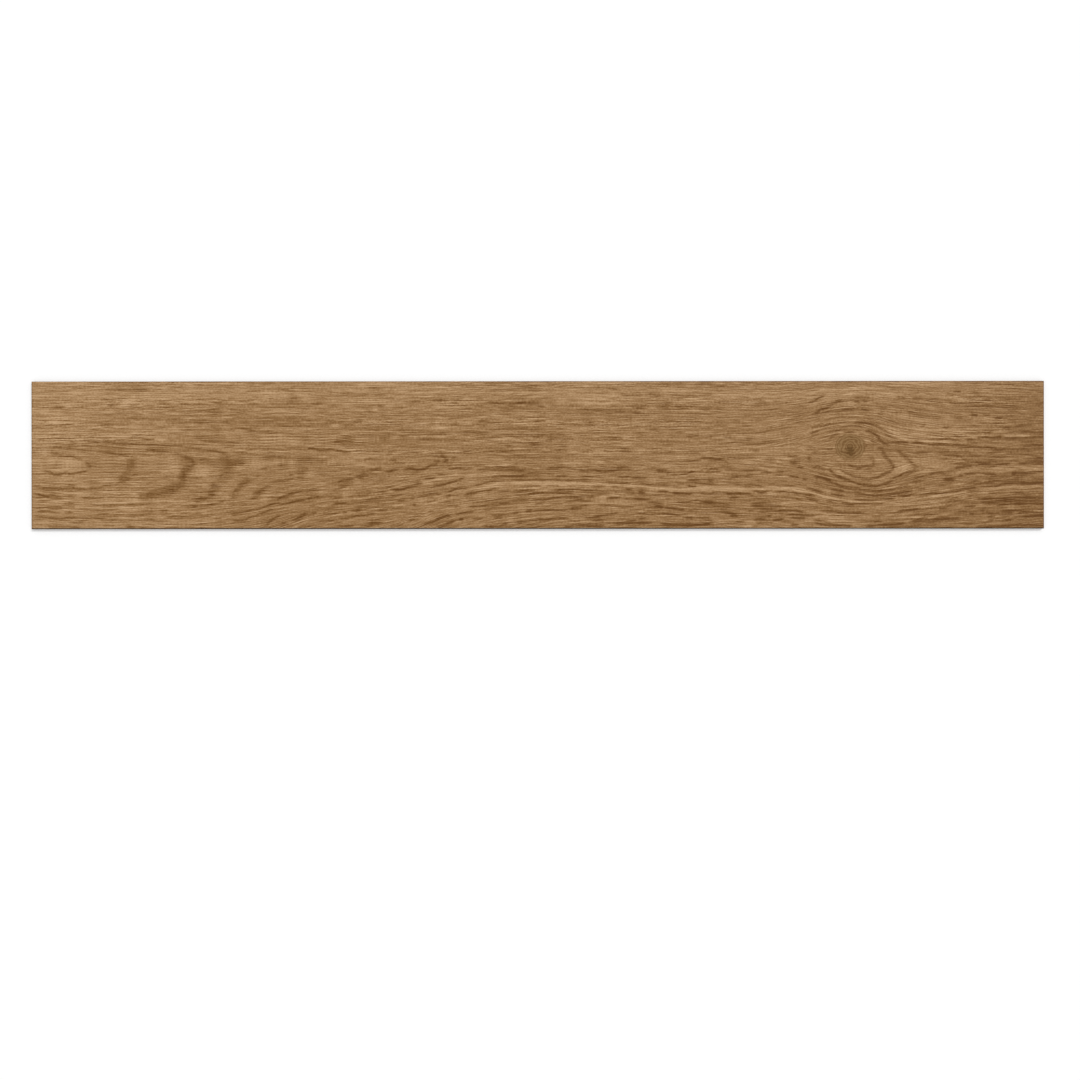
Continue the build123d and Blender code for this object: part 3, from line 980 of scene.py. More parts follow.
@dataclass(frozen=True)
class Flow:
    """Where each point lies in the wood once the wood is straightened.

    Args:
        even: Its level beside the nearer even-numbered fibre, in millimetres.
        odd: Its level beside the nearer odd-numbered fibre.
        share: The share that the odd-numbered fibre has in it, 0 to 1.
    """

    even: ndarray
    odd: ndarray
    share: ndarray


@dataclass(frozen=True)
class OakDrawing:
    """The whole print as one drawing, ready to be laid on a grid of points.

    Args:
        along: How the marks' edges fray along the grain.
        across: How they fray across it.
        fibre_reach: How widely the fibres' bends are smoothed, in millimetres.
        fibre_step: Distance between the points that they are smoothed at.
        first: Where the fibres start, in millimetres from the plank's left end.
        last: Where they stop.
    """

    along: Fray = Fray(size=0.8, run=7.0, rise=1.3, seed=11)
    across: Fray = Fray(size=0.18, run=9.0, rise=2.0, seed=12)
    fibre_reach: float = 9.0
    fibre_step: float = 3.0
    first: float = -20.0
    last: float = 1241.0

    def flow(self, x: ndarray, y: ndarray) -> Flow:
        """Straightens the wood beside each fibre, so that the streaks run along it.

        Args:
            x: Millimetres from the left end of each point.
            y: Millimetres up from the middle line of each point.

        Returns:
            The place of each point in the straightened wood.
        """
        levels = np.array([fibre.level for fibre in FIBRES], float)
        run = np.arange(self.first, self.last, self.fibre_step)
        heights = np.array([fibre.height(run) for fibre in FIBRES])
        heights = blurred(heights, self.fibre_reach / self.fibre_step, axis=1)
        near = np.array([np.interp(x, run, height) for height in heights])
        under = np.clip((near <= y).sum(axis=0) - 1, 0, len(FIBRES) - 2)
        point = np.arange(len(x))
        low, high = near[under, point], near[under + 1, point]
        share = ease((y - low) / (high - low))
        from_low = y - low + levels[under]
        from_high = y - high + levels[under + 1]
        odd = under % 2 == 1
        return Flow(
            even=np.where(odd, from_high, from_low),
            odd=np.where(odd, from_low, from_high),
            share=np.where(odd, 1 - share, share),
        )

    def lay(self, x: ndarray, y: ndarray, mark: Mark) -> ndarray:
        """Prints every mark of one kind.

        Args:
            x: Millimetres from the left end of each point.
            y: Millimetres up from the middle line of each point.
            mark: The kind of mark.

        Returns:
            How strongly each point is printed, 0 to 1.
        """
        frayed_x = x + self.along.shifts(x, y)
        frayed_y = y + self.across.shifts(x, y)
        clear = np.ones_like(x)
        for drawn in ALL_MARKS:
            if drawn.mark is mark:
                near, strength = drawn.print_on(frayed_x, frayed_y)
                clear[near] *= 1.0 - np.clip(strength, 0.0, PEN.fullest)
        return 1.0 - clear


# Shader nodes


COLOUR_A, COLOUR_B, MIXED_COLOUR = 6, 7, 2
NOISE_MIDDLE = 0.5
RAMP_ENDS = 2


@dataclass(frozen=True)
class Ramp:
    """An eased climb or fall from one value to another.

    Args:
        low: Where it starts.
        high: Where it stops.
        to_low: What it gives at the start.
        to_high: What it gives at the stop.
    """

    low: float
    high: float
    to_low: float = 0.0
    to_high: float = 1.0


class Bench:
    """A node tree with short ways to place its nodes and wire them."""

    def __init__(self, tree: NodeTree) -> None:
        """Takes the tree that the nodes go into."""
        self.tree = tree

    def place(self, kind: str, **settings: object) -> Node:
        """Adds a node and sets its properties.

        Args:
            kind: The node's type name.
            **settings: Properties to set on it.

        Returns:
            The new node.
        """
        node = self.tree.nodes.new(kind)
        for name, value in settings.items():
            setattr(node, name, value)
        return node

    def feed(self, socket: NodeSocket, value: object) -> None:
        """Wires an output into a socket, or sets the socket where the value is plain."""
        if isinstance(value, NodeSocket):
            self.tree.links.new(value, socket)
        else:
            socket.default_value = value

    def calc(self, work: str, *values: object) -> NodeSocket:
        """Places a Math node.

        Args:
            work: The operation, such as ADD.
            *values: Its inputs, each an output or a number.

        Returns:
            The result's socket.
        """
        node = self.place("ShaderNodeMath", operation=work)
        for socket, value in zip(node.inputs, values):
            self.feed(socket, value)
        return node.outputs[0]

    def away(self, across: NodeSocket, up: NodeSocket) -> NodeSocket:
        """Gives the straight distance of two distances at right angles."""
        square = self.calc("MULTIPLY_ADD", across, across, self.calc("MULTIPLY", up, up))
        return self.calc("SQRT", square)

    def climb(self, value: object, ramp: Ramp) -> NodeSocket:
        """Places a Map Range node that eases between its ends.

        Args:
            value: The value to map.
            ramp: Its start, its stop and what it gives there.

        Returns:
            The mapped value's socket.
        """
        node = self.place("ShaderNodeMapRange", interpolation_type="SMOOTHSTEP")
        names = ("Value", "From Min", "From Max", "To Min", "To Max")
        for name, given in zip(names, (value, ramp.low, ramp.high, ramp.to_low, ramp.to_high)):
            self.feed(node.inputs[name], given)
        return node.outputs[0]

    def split(self, vector: NodeSocket) -> Sockets:
        """Takes a vector apart, and gives its outputs X, Y and Z."""
        parts = self.place("ShaderNodeSeparateXYZ")
        self.feed(parts.inputs[0], vector)
        return parts.outputs

    def noise(
        self, vector: NodeSocket, scale: object, detail: object, sides: str = "2D"
    ) -> NodeSocket:
        """Places a Noise Texture node.

        Args:
            vector: Where the noise is read.
            scale: How fine it is.
            detail: Finer noise laid over it, in octaves.
            sides: Whether it varies in 2D or 3D.

        Returns:
            The noise's socket.
        """
        node = self.place("ShaderNodeTexNoise", noise_dimensions=sides)
        self.feed(node.inputs["Vector"], vector)
        self.feed(node.inputs["Scale"], scale)
        self.feed(node.inputs["Detail"], detail)
        return node.outputs["Fac"]

    def tint(self, blend: str, share: object, ground: object, over: object) -> NodeSocket:
        """Mixes one colour into another.

        Args:
            blend: The way they mix, such as MIX or MULTIPLY.
            share: How much of the second colour goes in, 0 to 1.
            ground: The first colour.
            over: The second colour.

        Returns:
            The mixed colour's socket.
        """
        node = self.place("ShaderNodeMix", data_type="RGBA", blend_type=blend)
        self.feed(node.inputs["Factor"], share)
        self.feed(node.inputs[COLOUR_A], ground)
        self.feed(node.inputs[COLOUR_B], over)
        return node.outputs[MIXED_COLOUR]

    def bump(self, height: NodeSocket, distance: float, strength: float) -> NodeSocket:
        """Turns a height into a bent normal.

        Args:
            height: The height.
            distance: How far a height of one stands out, in metres.
            strength: How much of it shows, 0 to 1.

        Returns:
            The normal's socket.
        """
        node = self.place("ShaderNodeBump")
        self.feed(node.inputs["Height"], height)
        self.feed(node.inputs["Distance"], distance)
        self.feed(node.inputs["Strength"], strength)
        return node.outputs["Normal"]

    def group(self, tree: NodeTree, **inputs: object) -> Sockets:
        """Places a node group and feeds its inputs.

        Args:
            tree: The group.
            **inputs: Its inputs by name, with underscores for the spaces.

        Returns:
            The group's outputs.
        """
        node = self.place("ShaderNodeGroup", node_tree=tree)
        for name, value in inputs.items():
            self.feed(node.inputs[name.replace("_", " ")], value)
        return node.outputs


def new_group(
    name: str, takes: dict[str, float | None], gives: tuple[str, ...]
) -> tuple[Bench, Sockets, Sockets]:
    """Starts a shader node group.

    Args:
        name: The group's name.
        takes: Its inputs and their values, with None for a vector.
        gives: The names of its outputs.

    Returns:
        The group's bench, what comes in and what goes out.
    """
    tree = bpy.data.node_groups.new(name, "ShaderNodeTree")
    for title, value in takes.items():
        kind = "NodeSocketVector" if value is None else "NodeSocketFloat"
        socket = tree.interface.new_socket(title, in_out="INPUT", socket_type=kind)
        if value is not None:
            socket.default_value = value
    for title in gives:
        tree.interface.new_socket(title, in_out="OUTPUT", socket_type="NodeSocketFloat")
    bench = Bench(tree)
    start = bench.place("NodeGroupInput")
    stop = bench.place("NodeGroupOutput")
    return bench, start.outputs, stop.inputs


@dataclass(frozen=True)
class StreakSet:
    """One set of streaks or ruled lines, drawn out along the fibres.

    Args:
        length: Length of a streak, in millimetres.
        spacing: Breadth of a streak.
        shift: Sets this set's pattern apart from the others.
        detail: Finer streaks laid over the main ones, in octaves.
        lines: Ruled lines to each spacing, where the set is ruled.
    """

    length: float
    spacing: float
    shift: float
    detail: float = 1.0
    lines: float = 3.0

    def place(self, bench: Bench, tree: NodeTree, start: Sockets) -> Sockets:
        """Places the set in the print's group.

        Args:
            bench: The print group's nodes.
            tree: The streak group.
            start: What comes into the print's group.

        Returns:
            The set's outputs.
        """
        return bench.group(
            tree, Flow=start["Flow"], Odd_Share=start["Odd Share"], Length=self.length,
            Spacing=self.spacing, Shift=self.shift, Detail=self.detail, Lines=self.lines,
        )


STREAK_SETS = {
    "Streak": StreakSet(75.0, 2.1, 3.7, detail=2.0),
    "Tick": StreakSet(16.0, 0.85, 71.7, detail=2.0),
    "Thread": StreakSet(95.0, 0.95, 17.3),
    "Grit": StreakSet(2.6, 1.3, 93.9),
    "Cloud": StreakSet(170.0, 15.0, 41.9),
    "Fleck": StreakSet(50.0, 1.3, 87.7),
    "Crowd": StreakSet(90.0, 10.0, 63.1),
    "Ridge": StreakSet(120.0, 4.0, 51.1),
    "Pore": StreakSet(12.0, 1.0, 29.5),
    "Long Rules": StreakSet(120.0, 11.0, 13.1, lines=4.0),
    "Short Rules": StreakSet(80.0, 9.0, 57.9, lines=2.2),
}


@dataclass(frozen=True)
class OakGrain:
    """The oak print: its streaks, pores, flecks and clouds round the drawn figure.

    Args:
        ground: The tone that every effect starts from, 0 to 1.
        wander: How far the ruled lines wander, in lines.
        crowded: How patchily lines and pores crowd together.
        crest: How narrow the crests are that carry the thin dark lines.
        pore_cut: How much of the pores' noise counts as a pore.
        fleck_cut: How much of the flecks' noise counts as a pale fleck.
        figure_pores: How many pores the dark figure draws.
        crowd_pores: How many pores a crowded patch draws.
        figure_break: How much the ticks break up the figure.
        figure_hold: How strong the figure is where no tick crosses it.
    """

    ground: float = 0.605
    wander: float = 5.0
    crowded: Ramp = Ramp(0.36, 0.62, 0.2, 1.0)
    crest: Ramp = Ramp(0.0, 0.045, 1.0, 0.0)
    pore_cut: Ramp = Ramp(0.56, 0.72)
    fleck_cut: Ramp = Ramp(0.57, 0.72)
    figure_pores: float = 0.9
    crowd_pores: float = 0.8
    figure_break: float = -0.5
    figure_hold: float = 0.97

    def streaks(self) -> NodeTree:
        """Builds noise and ruled lines that are drawn out along the fibres.

        The noise is read once beside the even-numbered fibre and once beside the odd one, and
        the two are mixed so that the result varies as much between the fibres as on them.

        Returns:
            The group.
        """
        takes = {
            "Flow": None, "Odd Share": 0.0, "Length": 40.0, "Spacing": 2.0, "Shift": 0.0,
            "Detail": 2.0, "Lines": 3.0,
        }
        bench, start, stop = new_group("drawn_out_streaks", takes, ("Streak", "Wave"))
        parts = bench.split(start["Flow"])
        run = bench.calc("DIVIDE", parts["X"], start["Length"])
        run = bench.calc("ADD", run, start["Shift"])
        streaks = []
        waves = []
        for axis in ("Y", "Z"):
            rise = bench.calc("DIVIDE", parts[axis], start["Spacing"])
            joined = bench.place("ShaderNodeCombineXYZ")
            bench.feed(joined.inputs["X"], run)
            bench.feed(joined.inputs["Y"], bench.calc("ADD", rise, start["Shift"]))
            noise = bench.noise(joined.outputs[0], 1.0, start["Detail"])
            streaks.append(bench.calc("SUBTRACT", noise, NOISE_MIDDLE))
            turns = bench.calc("MULTIPLY", rise, start["Lines"])
            turns = bench.calc("MULTIPLY_ADD", noise, self.wander, turns)
            waves.append(bench.calc("SINE", bench.calc("MULTIPLY", turns, FULL_TURN)))
        odd = start["Odd Share"]
        even = bench.calc("SUBTRACT", 1.0, odd)
        power = bench.away(odd, even)
        kinds = (("Streak", streaks, NOISE_MIDDLE), ("Wave", waves, 0.0))
        for title, (low, high), middle in kinds:
            mixed = bench.calc("MULTIPLY_ADD", high, odd, bench.calc("MULTIPLY", low, even))
            level = bench.calc("ADD", bench.calc("DIVIDE", mixed, power), middle)
            bench.feed(stop[title], level)
        return bench.tree

    def group(self, streaks: NodeTree) -> NodeTree:
        """Builds the print from sets of streaks and the drawn figure.

        Args:
            streaks: The streak group.

        Returns:
            The group.
        """
        takes = {
            "Flow": None,
            "Odd Share": 0.0,
            "Figure": 0.0,
            "Pale": 0.0,
            "Thread Strength": 0.88,
            "Tick Strength": 0.86,
            "Streak Strength": 0.07,
            "Line Strength": 0.08,
            "Wave Strength": 0.09,
            "Fleck Strength": 0.05,
            "Pore Strength": 0.16,
            "Grit Strength": 0.44,
            "Cloud Strength": 0.20,
            "Figure Strength": 0.46,
            "Pale Strength": 0.26,
        }
        bench, start, stop = new_group("oak_print", takes, ("Tone", "Height", "Pores"))
        figure = start["Figure"]
        sets = {title: kind.place(bench, streaks, start) for title, kind in STREAK_SETS.items()}
        effects = {
            title: bench.calc("SUBTRACT", sets[title]["Streak"], NOISE_MIDDLE)
            for title in ("Streak", "Tick", "Thread", "Grit", "Cloud")
        }
        effects["Fleck"] = bench.climb(sets["Fleck"]["Streak"], self.fleck_cut)
        crowd = bench.climb(sets["Crowd"]["Streak"], self.crowded)
        rules = bench.calc("ADD", sets["Long Rules"]["Wave"], sets["Short Rules"]["Wave"])
        effects["Wave"] = bench.calc("MULTIPLY", rules, crowd)
        effects["Pale"] = start["Pale"]
        ridge = bench.calc("SUBTRACT", sets["Ridge"]["Streak"], NOISE_MIDDLE)
        crest = bench.climb(bench.calc("ABSOLUTE", ridge), self.crest)
        line = bench.calc("MULTIPLY", crest, crowd)
        pore = bench.climb(sets["Pore"]["Streak"], self.pore_cut)
        crowding = bench.calc("MULTIPLY", crowd, self.crowd_pores)
        thick = bench.calc("MULTIPLY_ADD", figure, self.figure_pores, crowding)
        pores = bench.calc("MULTIPLY", pore, thick)
        broken = bench.calc("MULTIPLY_ADD", effects["Tick"], self.figure_break, self.figure_hold)
        band = bench.calc("MULTIPLY", figure, broken)
        tone: object = self.ground
        for title, value in effects.items():
            tone = bench.calc("MULTIPLY_ADD", value, start[f"{title} Strength"], tone)
        printed: object = 0.0
        for title, value in (("Pore", pores), ("Line", line), ("Figure", band)):
            printed = bench.calc("MULTIPLY_ADD", value, start[f"{title} Strength"], printed)
        height = bench.calc("SUBTRACT", effects["Thread"], pores)
        bench.feed(stop["Tone"], bench.calc("SUBTRACT", tone, printed))
        bench.feed(stop["Height"], height)
        bench.feed(stop["Pores"], pores)
        return bench.tree


@dataclass(frozen=True)
class Knot:
    """The small round knot with its rings and dark heart, in millimetres.

    Args:
        across: Its middle, from the plank's left end.
        up: Its middle, up from the plank's middle line.
        radius: Radius of its disc.
        ring: Distance from one ring to the next.
        heart_up: Middle of its heart, up from the plank's middle line.
        squash: How much broader than high it is.
        wobble: How far its rings swing in and out.
        wobble_scale: How fine that swing is, in swings to the millimetre.
        wobble_detail: Finer swings laid over it, in octaves.
        rim: How its disc ends, in radii.
        heart_rim: How its heart ends, in millimetres.
    """

    across: float = 985.5
    up: float = 9.5
    radius: float = 19.0
    ring: float = 3.7
    heart_up: float = 4.8
    squash: float = 1.15
    wobble: float = 8.0
    wobble_scale: float = 0.13
    wobble_detail: float = 2.0
    rim: Ramp = Ramp(0.80, 1.10, 1.0, 0.0)
    heart_rim: Ramp = Ramp(1.5, 9.0, 1.0, 0.0)

    def group(self) -> NodeTree:
        """Builds the knot.

        Returns:
            The group.
        """
        takes = {
            "Place": None,
            "Across": self.across,
            "Up": self.up,
            "Radius": self.radius,
            "Ring": self.ring,
            "Heart Up": self.heart_up,
        }
        bench, start, stop = new_group("oak_knot", takes, ("Disc", "Rings", "Heart"))
        place = start["Place"]
        parts = bench.split(place)
        swing = bench.noise(place, self.wobble_scale, self.wobble_detail)
        shake = bench.calc("MULTIPLY_ADD", swing, self.wobble, -self.wobble / 2)
        across = bench.calc("SUBTRACT", parts["X"], start["Across"])
        up = bench.calc("SUBTRACT", parts["Y"], start["Up"])
        up = bench.calc("MULTIPLY", up, self.squash)
        shaken = bench.calc("ADD", bench.away(across, up), shake)
        turn = bench.calc("DIVIDE", shaken, start["Ring"])
        rings = bench.calc("SINE", bench.calc("MULTIPLY", turn, FULL_TURN))
        reach = bench.calc("DIVIDE", shaken, start["Radius"])
        over = bench.calc("SUBTRACT", parts["Y"], start["Heart Up"])
        core = bench.calc("ADD", bench.away(across, over), shake)
        bench.feed(stop["Disc"], bench.climb(reach, self.rim))
        bench.feed(stop["Rings"], rings)
        bench.feed(stop["Heart"], bench.climb(core, self.heart_rim))
        return bench.tree


@dataclass(frozen=True)
class Filler:
    """The speckle of the mineral filler in the vinyl of the cut and the back.

    Args:
        grit: Grains to the metre.
        grit_detail: Finer grains over them, in octaves.
        blotch: Blotches to the metre.
        blotch_detail: Finer blotches over them, in octaves.
    """

    grit: float = 900.0
    grit_detail: float = 2.0
    blotch: float = 60.0
    blotch_detail: float = 3.0

    def group(self) -> NodeTree:
        """Builds the speckle.

        Returns:
            The group.
        """
        takes = {"Place": None, "Grit": self.grit, "Blotch": self.blotch}
        bench, start, stop = new_group("filler_speckle", takes, ("Speckle", "Blotches"))
        place = start["Place"]
        speckle = bench.noise(place, start["Grit"], self.grit_detail, "3D")
        blotches = bench.noise(place, start["Blotch"], self.blotch_detail, "3D")
        bench.feed(stop["Speckle"], speckle)
        bench.feed(stop["Blotches"], blotches)
        return bench.tree


class Effects:
    """The node groups that the finishes share, each built once."""

    def __init__(self) -> None:
        """Builds every group."""
        oak = OakGrain()
        self.grain = oak.group(oak.streaks())
        self.knot = Knot().group()
        self.filler = Filler().group()


# The finishes


def new_material(name: str) -> tuple[Material, Bench, Node]:
    """Starts a material with a Principled shader wired to its output.

    Args:
        name: The material's name.

    Returns:
        The material, its bench and its shader node.
    """
    material = bpy.data.materials.new(name)
    material.use_nodes = True
    bench = Bench(material.node_tree)
    material.node_tree.nodes.clear()
    shader = bench.place("ShaderNodeBsdfPrincipled")
    output = bench.place("ShaderNodeOutputMaterial")
    bench.feed(output.inputs["Surface"], shader.outputs["BSDF"])
    return material, bench, shader


class Axis(Enum):
    """The two ways that the painted light and shade drift across the board."""

    ALONG = "X"
    UP = "Y"


@dataclass(frozen=True)
class PaintedLightDrift:
    """A slow painted change of light and shade across the board.

    Args:
        axis: The way that it runs.
        start: Where it starts, in millimetres from the left end or up from the middle line.
        stop: Where it stops.
        change: How far the painted light and shade have changed the tone there.
    """

    axis: Axis
    start: float
    stop: float
    change: float


@dataclass(frozen=True)
class Tone:
    """One colour of the print.

    Args:
        at: Its place between the darkest tone, 0, and the palest, 1.
        colour: Its red, green and blue, 0 to 255.
    """

    at: float
    colour: tuple[int, int, int]


PRINT_TONES = (
    Tone(0.00, (97, 60, 14)),
    Tone(0.10, (108, 71, 27)),
    Tone(0.31, (130, 94, 52)),
    Tone(0.50, (150, 114, 73)),
    Tone(0.68, (169, 133, 93)),
    Tone(0.86, (187, 152, 112)),
    Tone(1.00, (201, 166, 127)),
)
# Painted shade: darker tones for the bevel on the near long side only, standing in for the shade on that
# side.
PAINTED_SHADE_TONES = (
    Tone(0.0, (44, 30, 13)),
    Tone(0.5, (66, 46, 22)),
    Tone(1.0, (92, 66, 36)),
)
# Painted light and shade: the tone is lighter towards the left end and along the top strip, and darker
# towards the right end.
PAINTED_LIGHT_DRIFTS = (
    PaintedLightDrift(Axis.ALONG, 90, 240, -0.10),
    PaintedLightDrift(Axis.ALONG, 300, 1060, -0.03),
    PaintedLightDrift(Axis.ALONG, 1040, 1200, -0.13),
    PaintedLightDrift(Axis.UP, -89, 60, 0.02),
    PaintedLightDrift(Axis.UP, 60, 72, 0.09),
)


@dataclass(frozen=True)
class OakPrint:
    """The printed wear layer: oak colours with painted light and shade drifting across them, under a
    low-sheen coat, embossed with the pores.

    Args:
        name: The material's name.
        dim: How much darker it is than the plain print, 0 to 1.
        tones: The print's colours from the darkest to the palest.
        painted_drifts: Painted light and shade, as slow changes of its tone.
        knot_calm: How far the knot's disc evens out the grain, 0 to 1.
        knot_middle: The tone that it evens it out to.
        knot_rings: How strongly the rings show.
        knot_dim: How much darker the disc is.
        knot_heart: How much darker the heart is.
        knot_green: How strongly the disc takes the knot's tint, 0 to 1.
        knot_tint: What the knot's tint leaves of the print's colour.
        roughness: How dull the coat is.
        pore_roughness: How much duller it is in a pore.
        sheen: Strength of the coat's reflection.
        emboss: Depth of the fine embossing, in metres.
        emboss_share: How much of it shows, 0 to 1.
    """

    name: str
    dim: float = 0.0
    tones: tuple[Tone, ...] = PRINT_TONES
    painted_drifts: tuple[PaintedLightDrift, ...] = PAINTED_LIGHT_DRIFTS
    knot_calm: float = 0.6
    knot_middle: float = 0.5
    knot_rings: float = 0.14
    knot_dim: float = -0.10
    knot_heart: float = -0.32
    knot_green: float = 0.35
    knot_tint: tuple[float, float, float, float] = (0.88, 1.0, 1.0, 1.0)
    roughness: float = 0.60
    pore_roughness: float = 0.15
    sheen: float = 0.20
    emboss: float = 0.2 * MM
    emboss_share: float = 0.5

    def make(self, effects: Effects) -> Material:
        """Builds the material.

        Args:
            effects: The shared node groups.

        Returns:
            The material.
        """
        material, bench, shader = new_material(self.name)
        flow = bench.place("ShaderNodeAttribute", attribute_name="grain_flow")
        place = bench.place("ShaderNodeAttribute", attribute_name="print_place")
        figure = bench.place("ShaderNodeAttribute", attribute_name=Mark.DARK.value)
        light = bench.place("ShaderNodeAttribute", attribute_name=Mark.PALE.value)
        parts = bench.split(place.outputs["Vector"])
        grain = bench.group(
            effects.grain, Flow=flow.outputs["Vector"], Odd_Share=parts["Z"],
            Figure=figure.outputs["Fac"], Pale=light.outputs["Fac"],
        )
        knot = bench.group(effects.knot, Place=place.outputs["Vector"])
        tone = self.tone(bench, parts, grain["Tone"], knot)
        colour = self.colour(bench, tone)
        green = bench.calc("MULTIPLY", knot["Disc"], self.knot_green)
        green = bench.calc("MAXIMUM", green, knot["Heart"])
        colour = bench.tint("MULTIPLY", green, colour, self.knot_tint)
        rough = bench.calc("MULTIPLY_ADD", grain["Pores"], self.pore_roughness, self.roughness)
        bench.feed(shader.inputs["Base Color"], colour)
        bench.feed(shader.inputs["Roughness"], rough)
        bench.feed(shader.inputs["Specular IOR Level"], self.sheen)
        normal = bench.bump(grain["Height"], self.emboss, self.emboss_share)
        bench.feed(shader.inputs["Normal"], normal)
        return material

    def colour(self, bench: Bench, tone: NodeSocket) -> NodeSocket:
        """Turns a tone into the print's colour.

        Args:
            bench: The material's nodes.
            tone: The tone, 0 to 1.

        Returns:
            The colour's socket.
        """
        node = bench.place("ShaderNodeValToRGB")
        steps = node.color_ramp.elements
        for number, tint in enumerate(self.tones):
            step = steps[number] if number < RAMP_ENDS else steps.new(tint.at)
            step.position = tint.at
            step.color = ink(*tint.colour)
        steps[0].position, steps[1].position = self.tones[0].at, self.tones[1].at
        bench.feed(node.inputs["Fac"], tone)
        return node.outputs["Color"]

    def tone(
        self,
        bench: Bench,
        place: Sockets,
        grain: NodeSocket,
        knot: Sockets,
    ) -> NodeSocket:
        """Adds the knot and the painted light and shade across the board to the grain's tone.

        Args:
            bench: The material's nodes.
            place: X and Y outputs with the place on the plank, in millimetres.
            grain: The grain's tone.
            knot: The knot group's outputs.

        Returns:
            The finished tone's socket.
        """
        tone = bench.calc("SUBTRACT", grain, self.dim)
        calm = bench.calc("MULTIPLY", knot["Disc"], self.knot_calm)
        apart = bench.calc("SUBTRACT", self.knot_middle, tone)
        tone = bench.calc("MULTIPLY_ADD", apart, calm, tone)
        # Painted light and shade across the board, added as slow drifts of the tone.
        for painted_drift in self.painted_drifts:
            ramp = Ramp(painted_drift.start, painted_drift.stop, 0.0, painted_drift.change)
            tone = bench.calc("ADD", tone, bench.climb(place[painted_drift.axis.value], ramp))
        ringed = bench.calc("MULTIPLY_ADD", knot["Rings"], self.knot_rings, self.knot_dim)
        tone = bench.calc("MULTIPLY_ADD", ringed, knot["Disc"], tone)
        return bench.calc("MULTIPLY_ADD", knot["Heart"], self.knot_heart, tone)


@dataclass(frozen=True)
class FilledVinyl:
    """Plain mineral-filled vinyl, as the cut edge and the back show it.

    Args:
        name: The material's name.
        ground: Its colour.
        grit: The colour of the filler's grains.
        grains: How the filler's noise turns into grains.
        grain_share: How much of a grain's colour shows, 0 to 1.
        worn: How the blotches shade the colour.
        dullness: How rough it is between and on the grains.
        texture: Height of its bumps, in metres.
        texture_share: How much of them shows, 0 to 1.
    """

    name: str
    ground: tuple[int, int, int]
    grit: tuple[int, int, int]
    grains: Ramp = Ramp(0.485, 0.72)
    grain_share: float = 0.6
    worn: Ramp = Ramp(0.3, 0.7, 0.82, 1.06)
    dullness: Ramp = Ramp(0.3, 0.7, 0.56, 0.70)
    texture: float = 0.12 * MM
    texture_share: float = 0.6

    def make(self, effects: Effects) -> Material:
        """Builds the material.

        Args:
            effects: The shared node groups.

        Returns:
            The material.
        """
        material, bench, shader = new_material(self.name)
        place = bench.place("ShaderNodeTexCoord").outputs["Object"]
        filler = bench.group(effects.filler, Place=place)
        speckle = filler["Speckle"]
        share = bench.calc("MULTIPLY", bench.climb(speckle, self.grains), self.grain_share)
        colour = bench.tint("MIX", share, ink(*self.ground), ink(*self.grit))
        worn = bench.climb(filler["Blotches"], self.worn)
        bench.feed(shader.inputs["Base Color"], bench.tint("MULTIPLY", 1.0, colour, worn))
        bench.feed(shader.inputs["Roughness"], bench.climb(speckle, self.dullness))
        normal = bench.bump(speckle, self.texture, self.texture_share)
        bench.feed(shader.inputs["Normal"], normal)
        return material


# The plank


class Side(Enum):
    """The kinds of surface on the plank, each with its own finish; the near bevel's is the print with
    painted shade.
    """

    WEAR_FACE = 0
    BEVEL = 1
    # The near long side's bevel, which carries painted shade.
    PAINTED_SHADE_BEVEL = 2
    CUT_EDGE = 3
    BACK = 4


@dataclass(frozen=True)
class Strip:
    """A rectangle of the texture sheet that one surface is laid out on.

    Args:
        low: Its lower side, as a share of the sheet.
        high: Its upper side.
        left: Its left side.
        right: Its right side.
    """

    low: float
    high: float
    left: float = 0.004
    right: float = 0.996

    def spot(self, across: ndarray, up: ndarray) -> ndarray:
        """Turns shares of the strip's width and height into places on the sheet."""
        u = self.left + (self.right - self.left) * across
        v = self.low + (self.high - self.low) * up
        return np.stack((u, v), axis=-1)


LEFT_HALF = Strip(0.575, 0.995)
RIGHT_HALF = Strip(0.150, 0.570)
BACK_STRIP = Strip(0.082, 0.145)
SLOPE_STRIPS = (
    Strip(0.064, 0.074),
    Strip(0.046, 0.058, 0.004, 0.240),
    Strip(0.031, 0.041),
    Strip(0.046, 0.058, 0.254, 0.490),
)
WALL_STRIPS = (
    Strip(0.002, 0.012),
    Strip(0.046, 0.058, 0.504, 0.740),
    Strip(0.016, 0.026),
    Strip(0.046, 0.058, 0.754, 0.990),
)


class Skin:
    """The faces of a mesh as they are joined up, with their finish and their layout."""

    def __init__(self) -> None:
        """Starts with no face."""
        self.faces: list[list[int]] = []
        self.kinds: list[int] = []
        self.sheet: list[ndarray] = []

    def add(self, side: Side, corners: list[list[int]], spots: ndarray) -> None:
        """Adds faces of one kind.

        Args:
            side: The kind of surface.
            corners: Each face's points.
            spots: Their places on the texture sheet.
        """
        self.faces += corners
        self.kinds += [side.value] * len(corners)
        self.sheet.append(spots.reshape(-1, 2))


@dataclass(frozen=True)
class Edge:
    """The way down from the wear face to the back.

    Args:
        rim: Numbers of the wear face's rim points, in order round it.
        points: The points under them, at the top of the cut edge.
        foot_x: The back's columns, in metres.
        foot_y: The back's rows.
    """

    rim: list[int]
    points: ndarray
    foot_x: ndarray
    foot_y: ndarray


def ring(columns: int, rows: int) -> list[int]:
    """Numbers the outer points of a grid in order, from its first corner round.

    Args:
        columns: Cells of the grid in a row.
        rows: Cells of the grid in a column.

    Returns:
        The numbers.
    """
    wide = columns + 1
    around = list(range(columns))
    around += [row * wide + columns for row in range(rows)]
    around += [rows * wide + column for column in range(columns, 0, -1)]
    around += [row * wide for row in range(rows, 0, -1)]
    return around


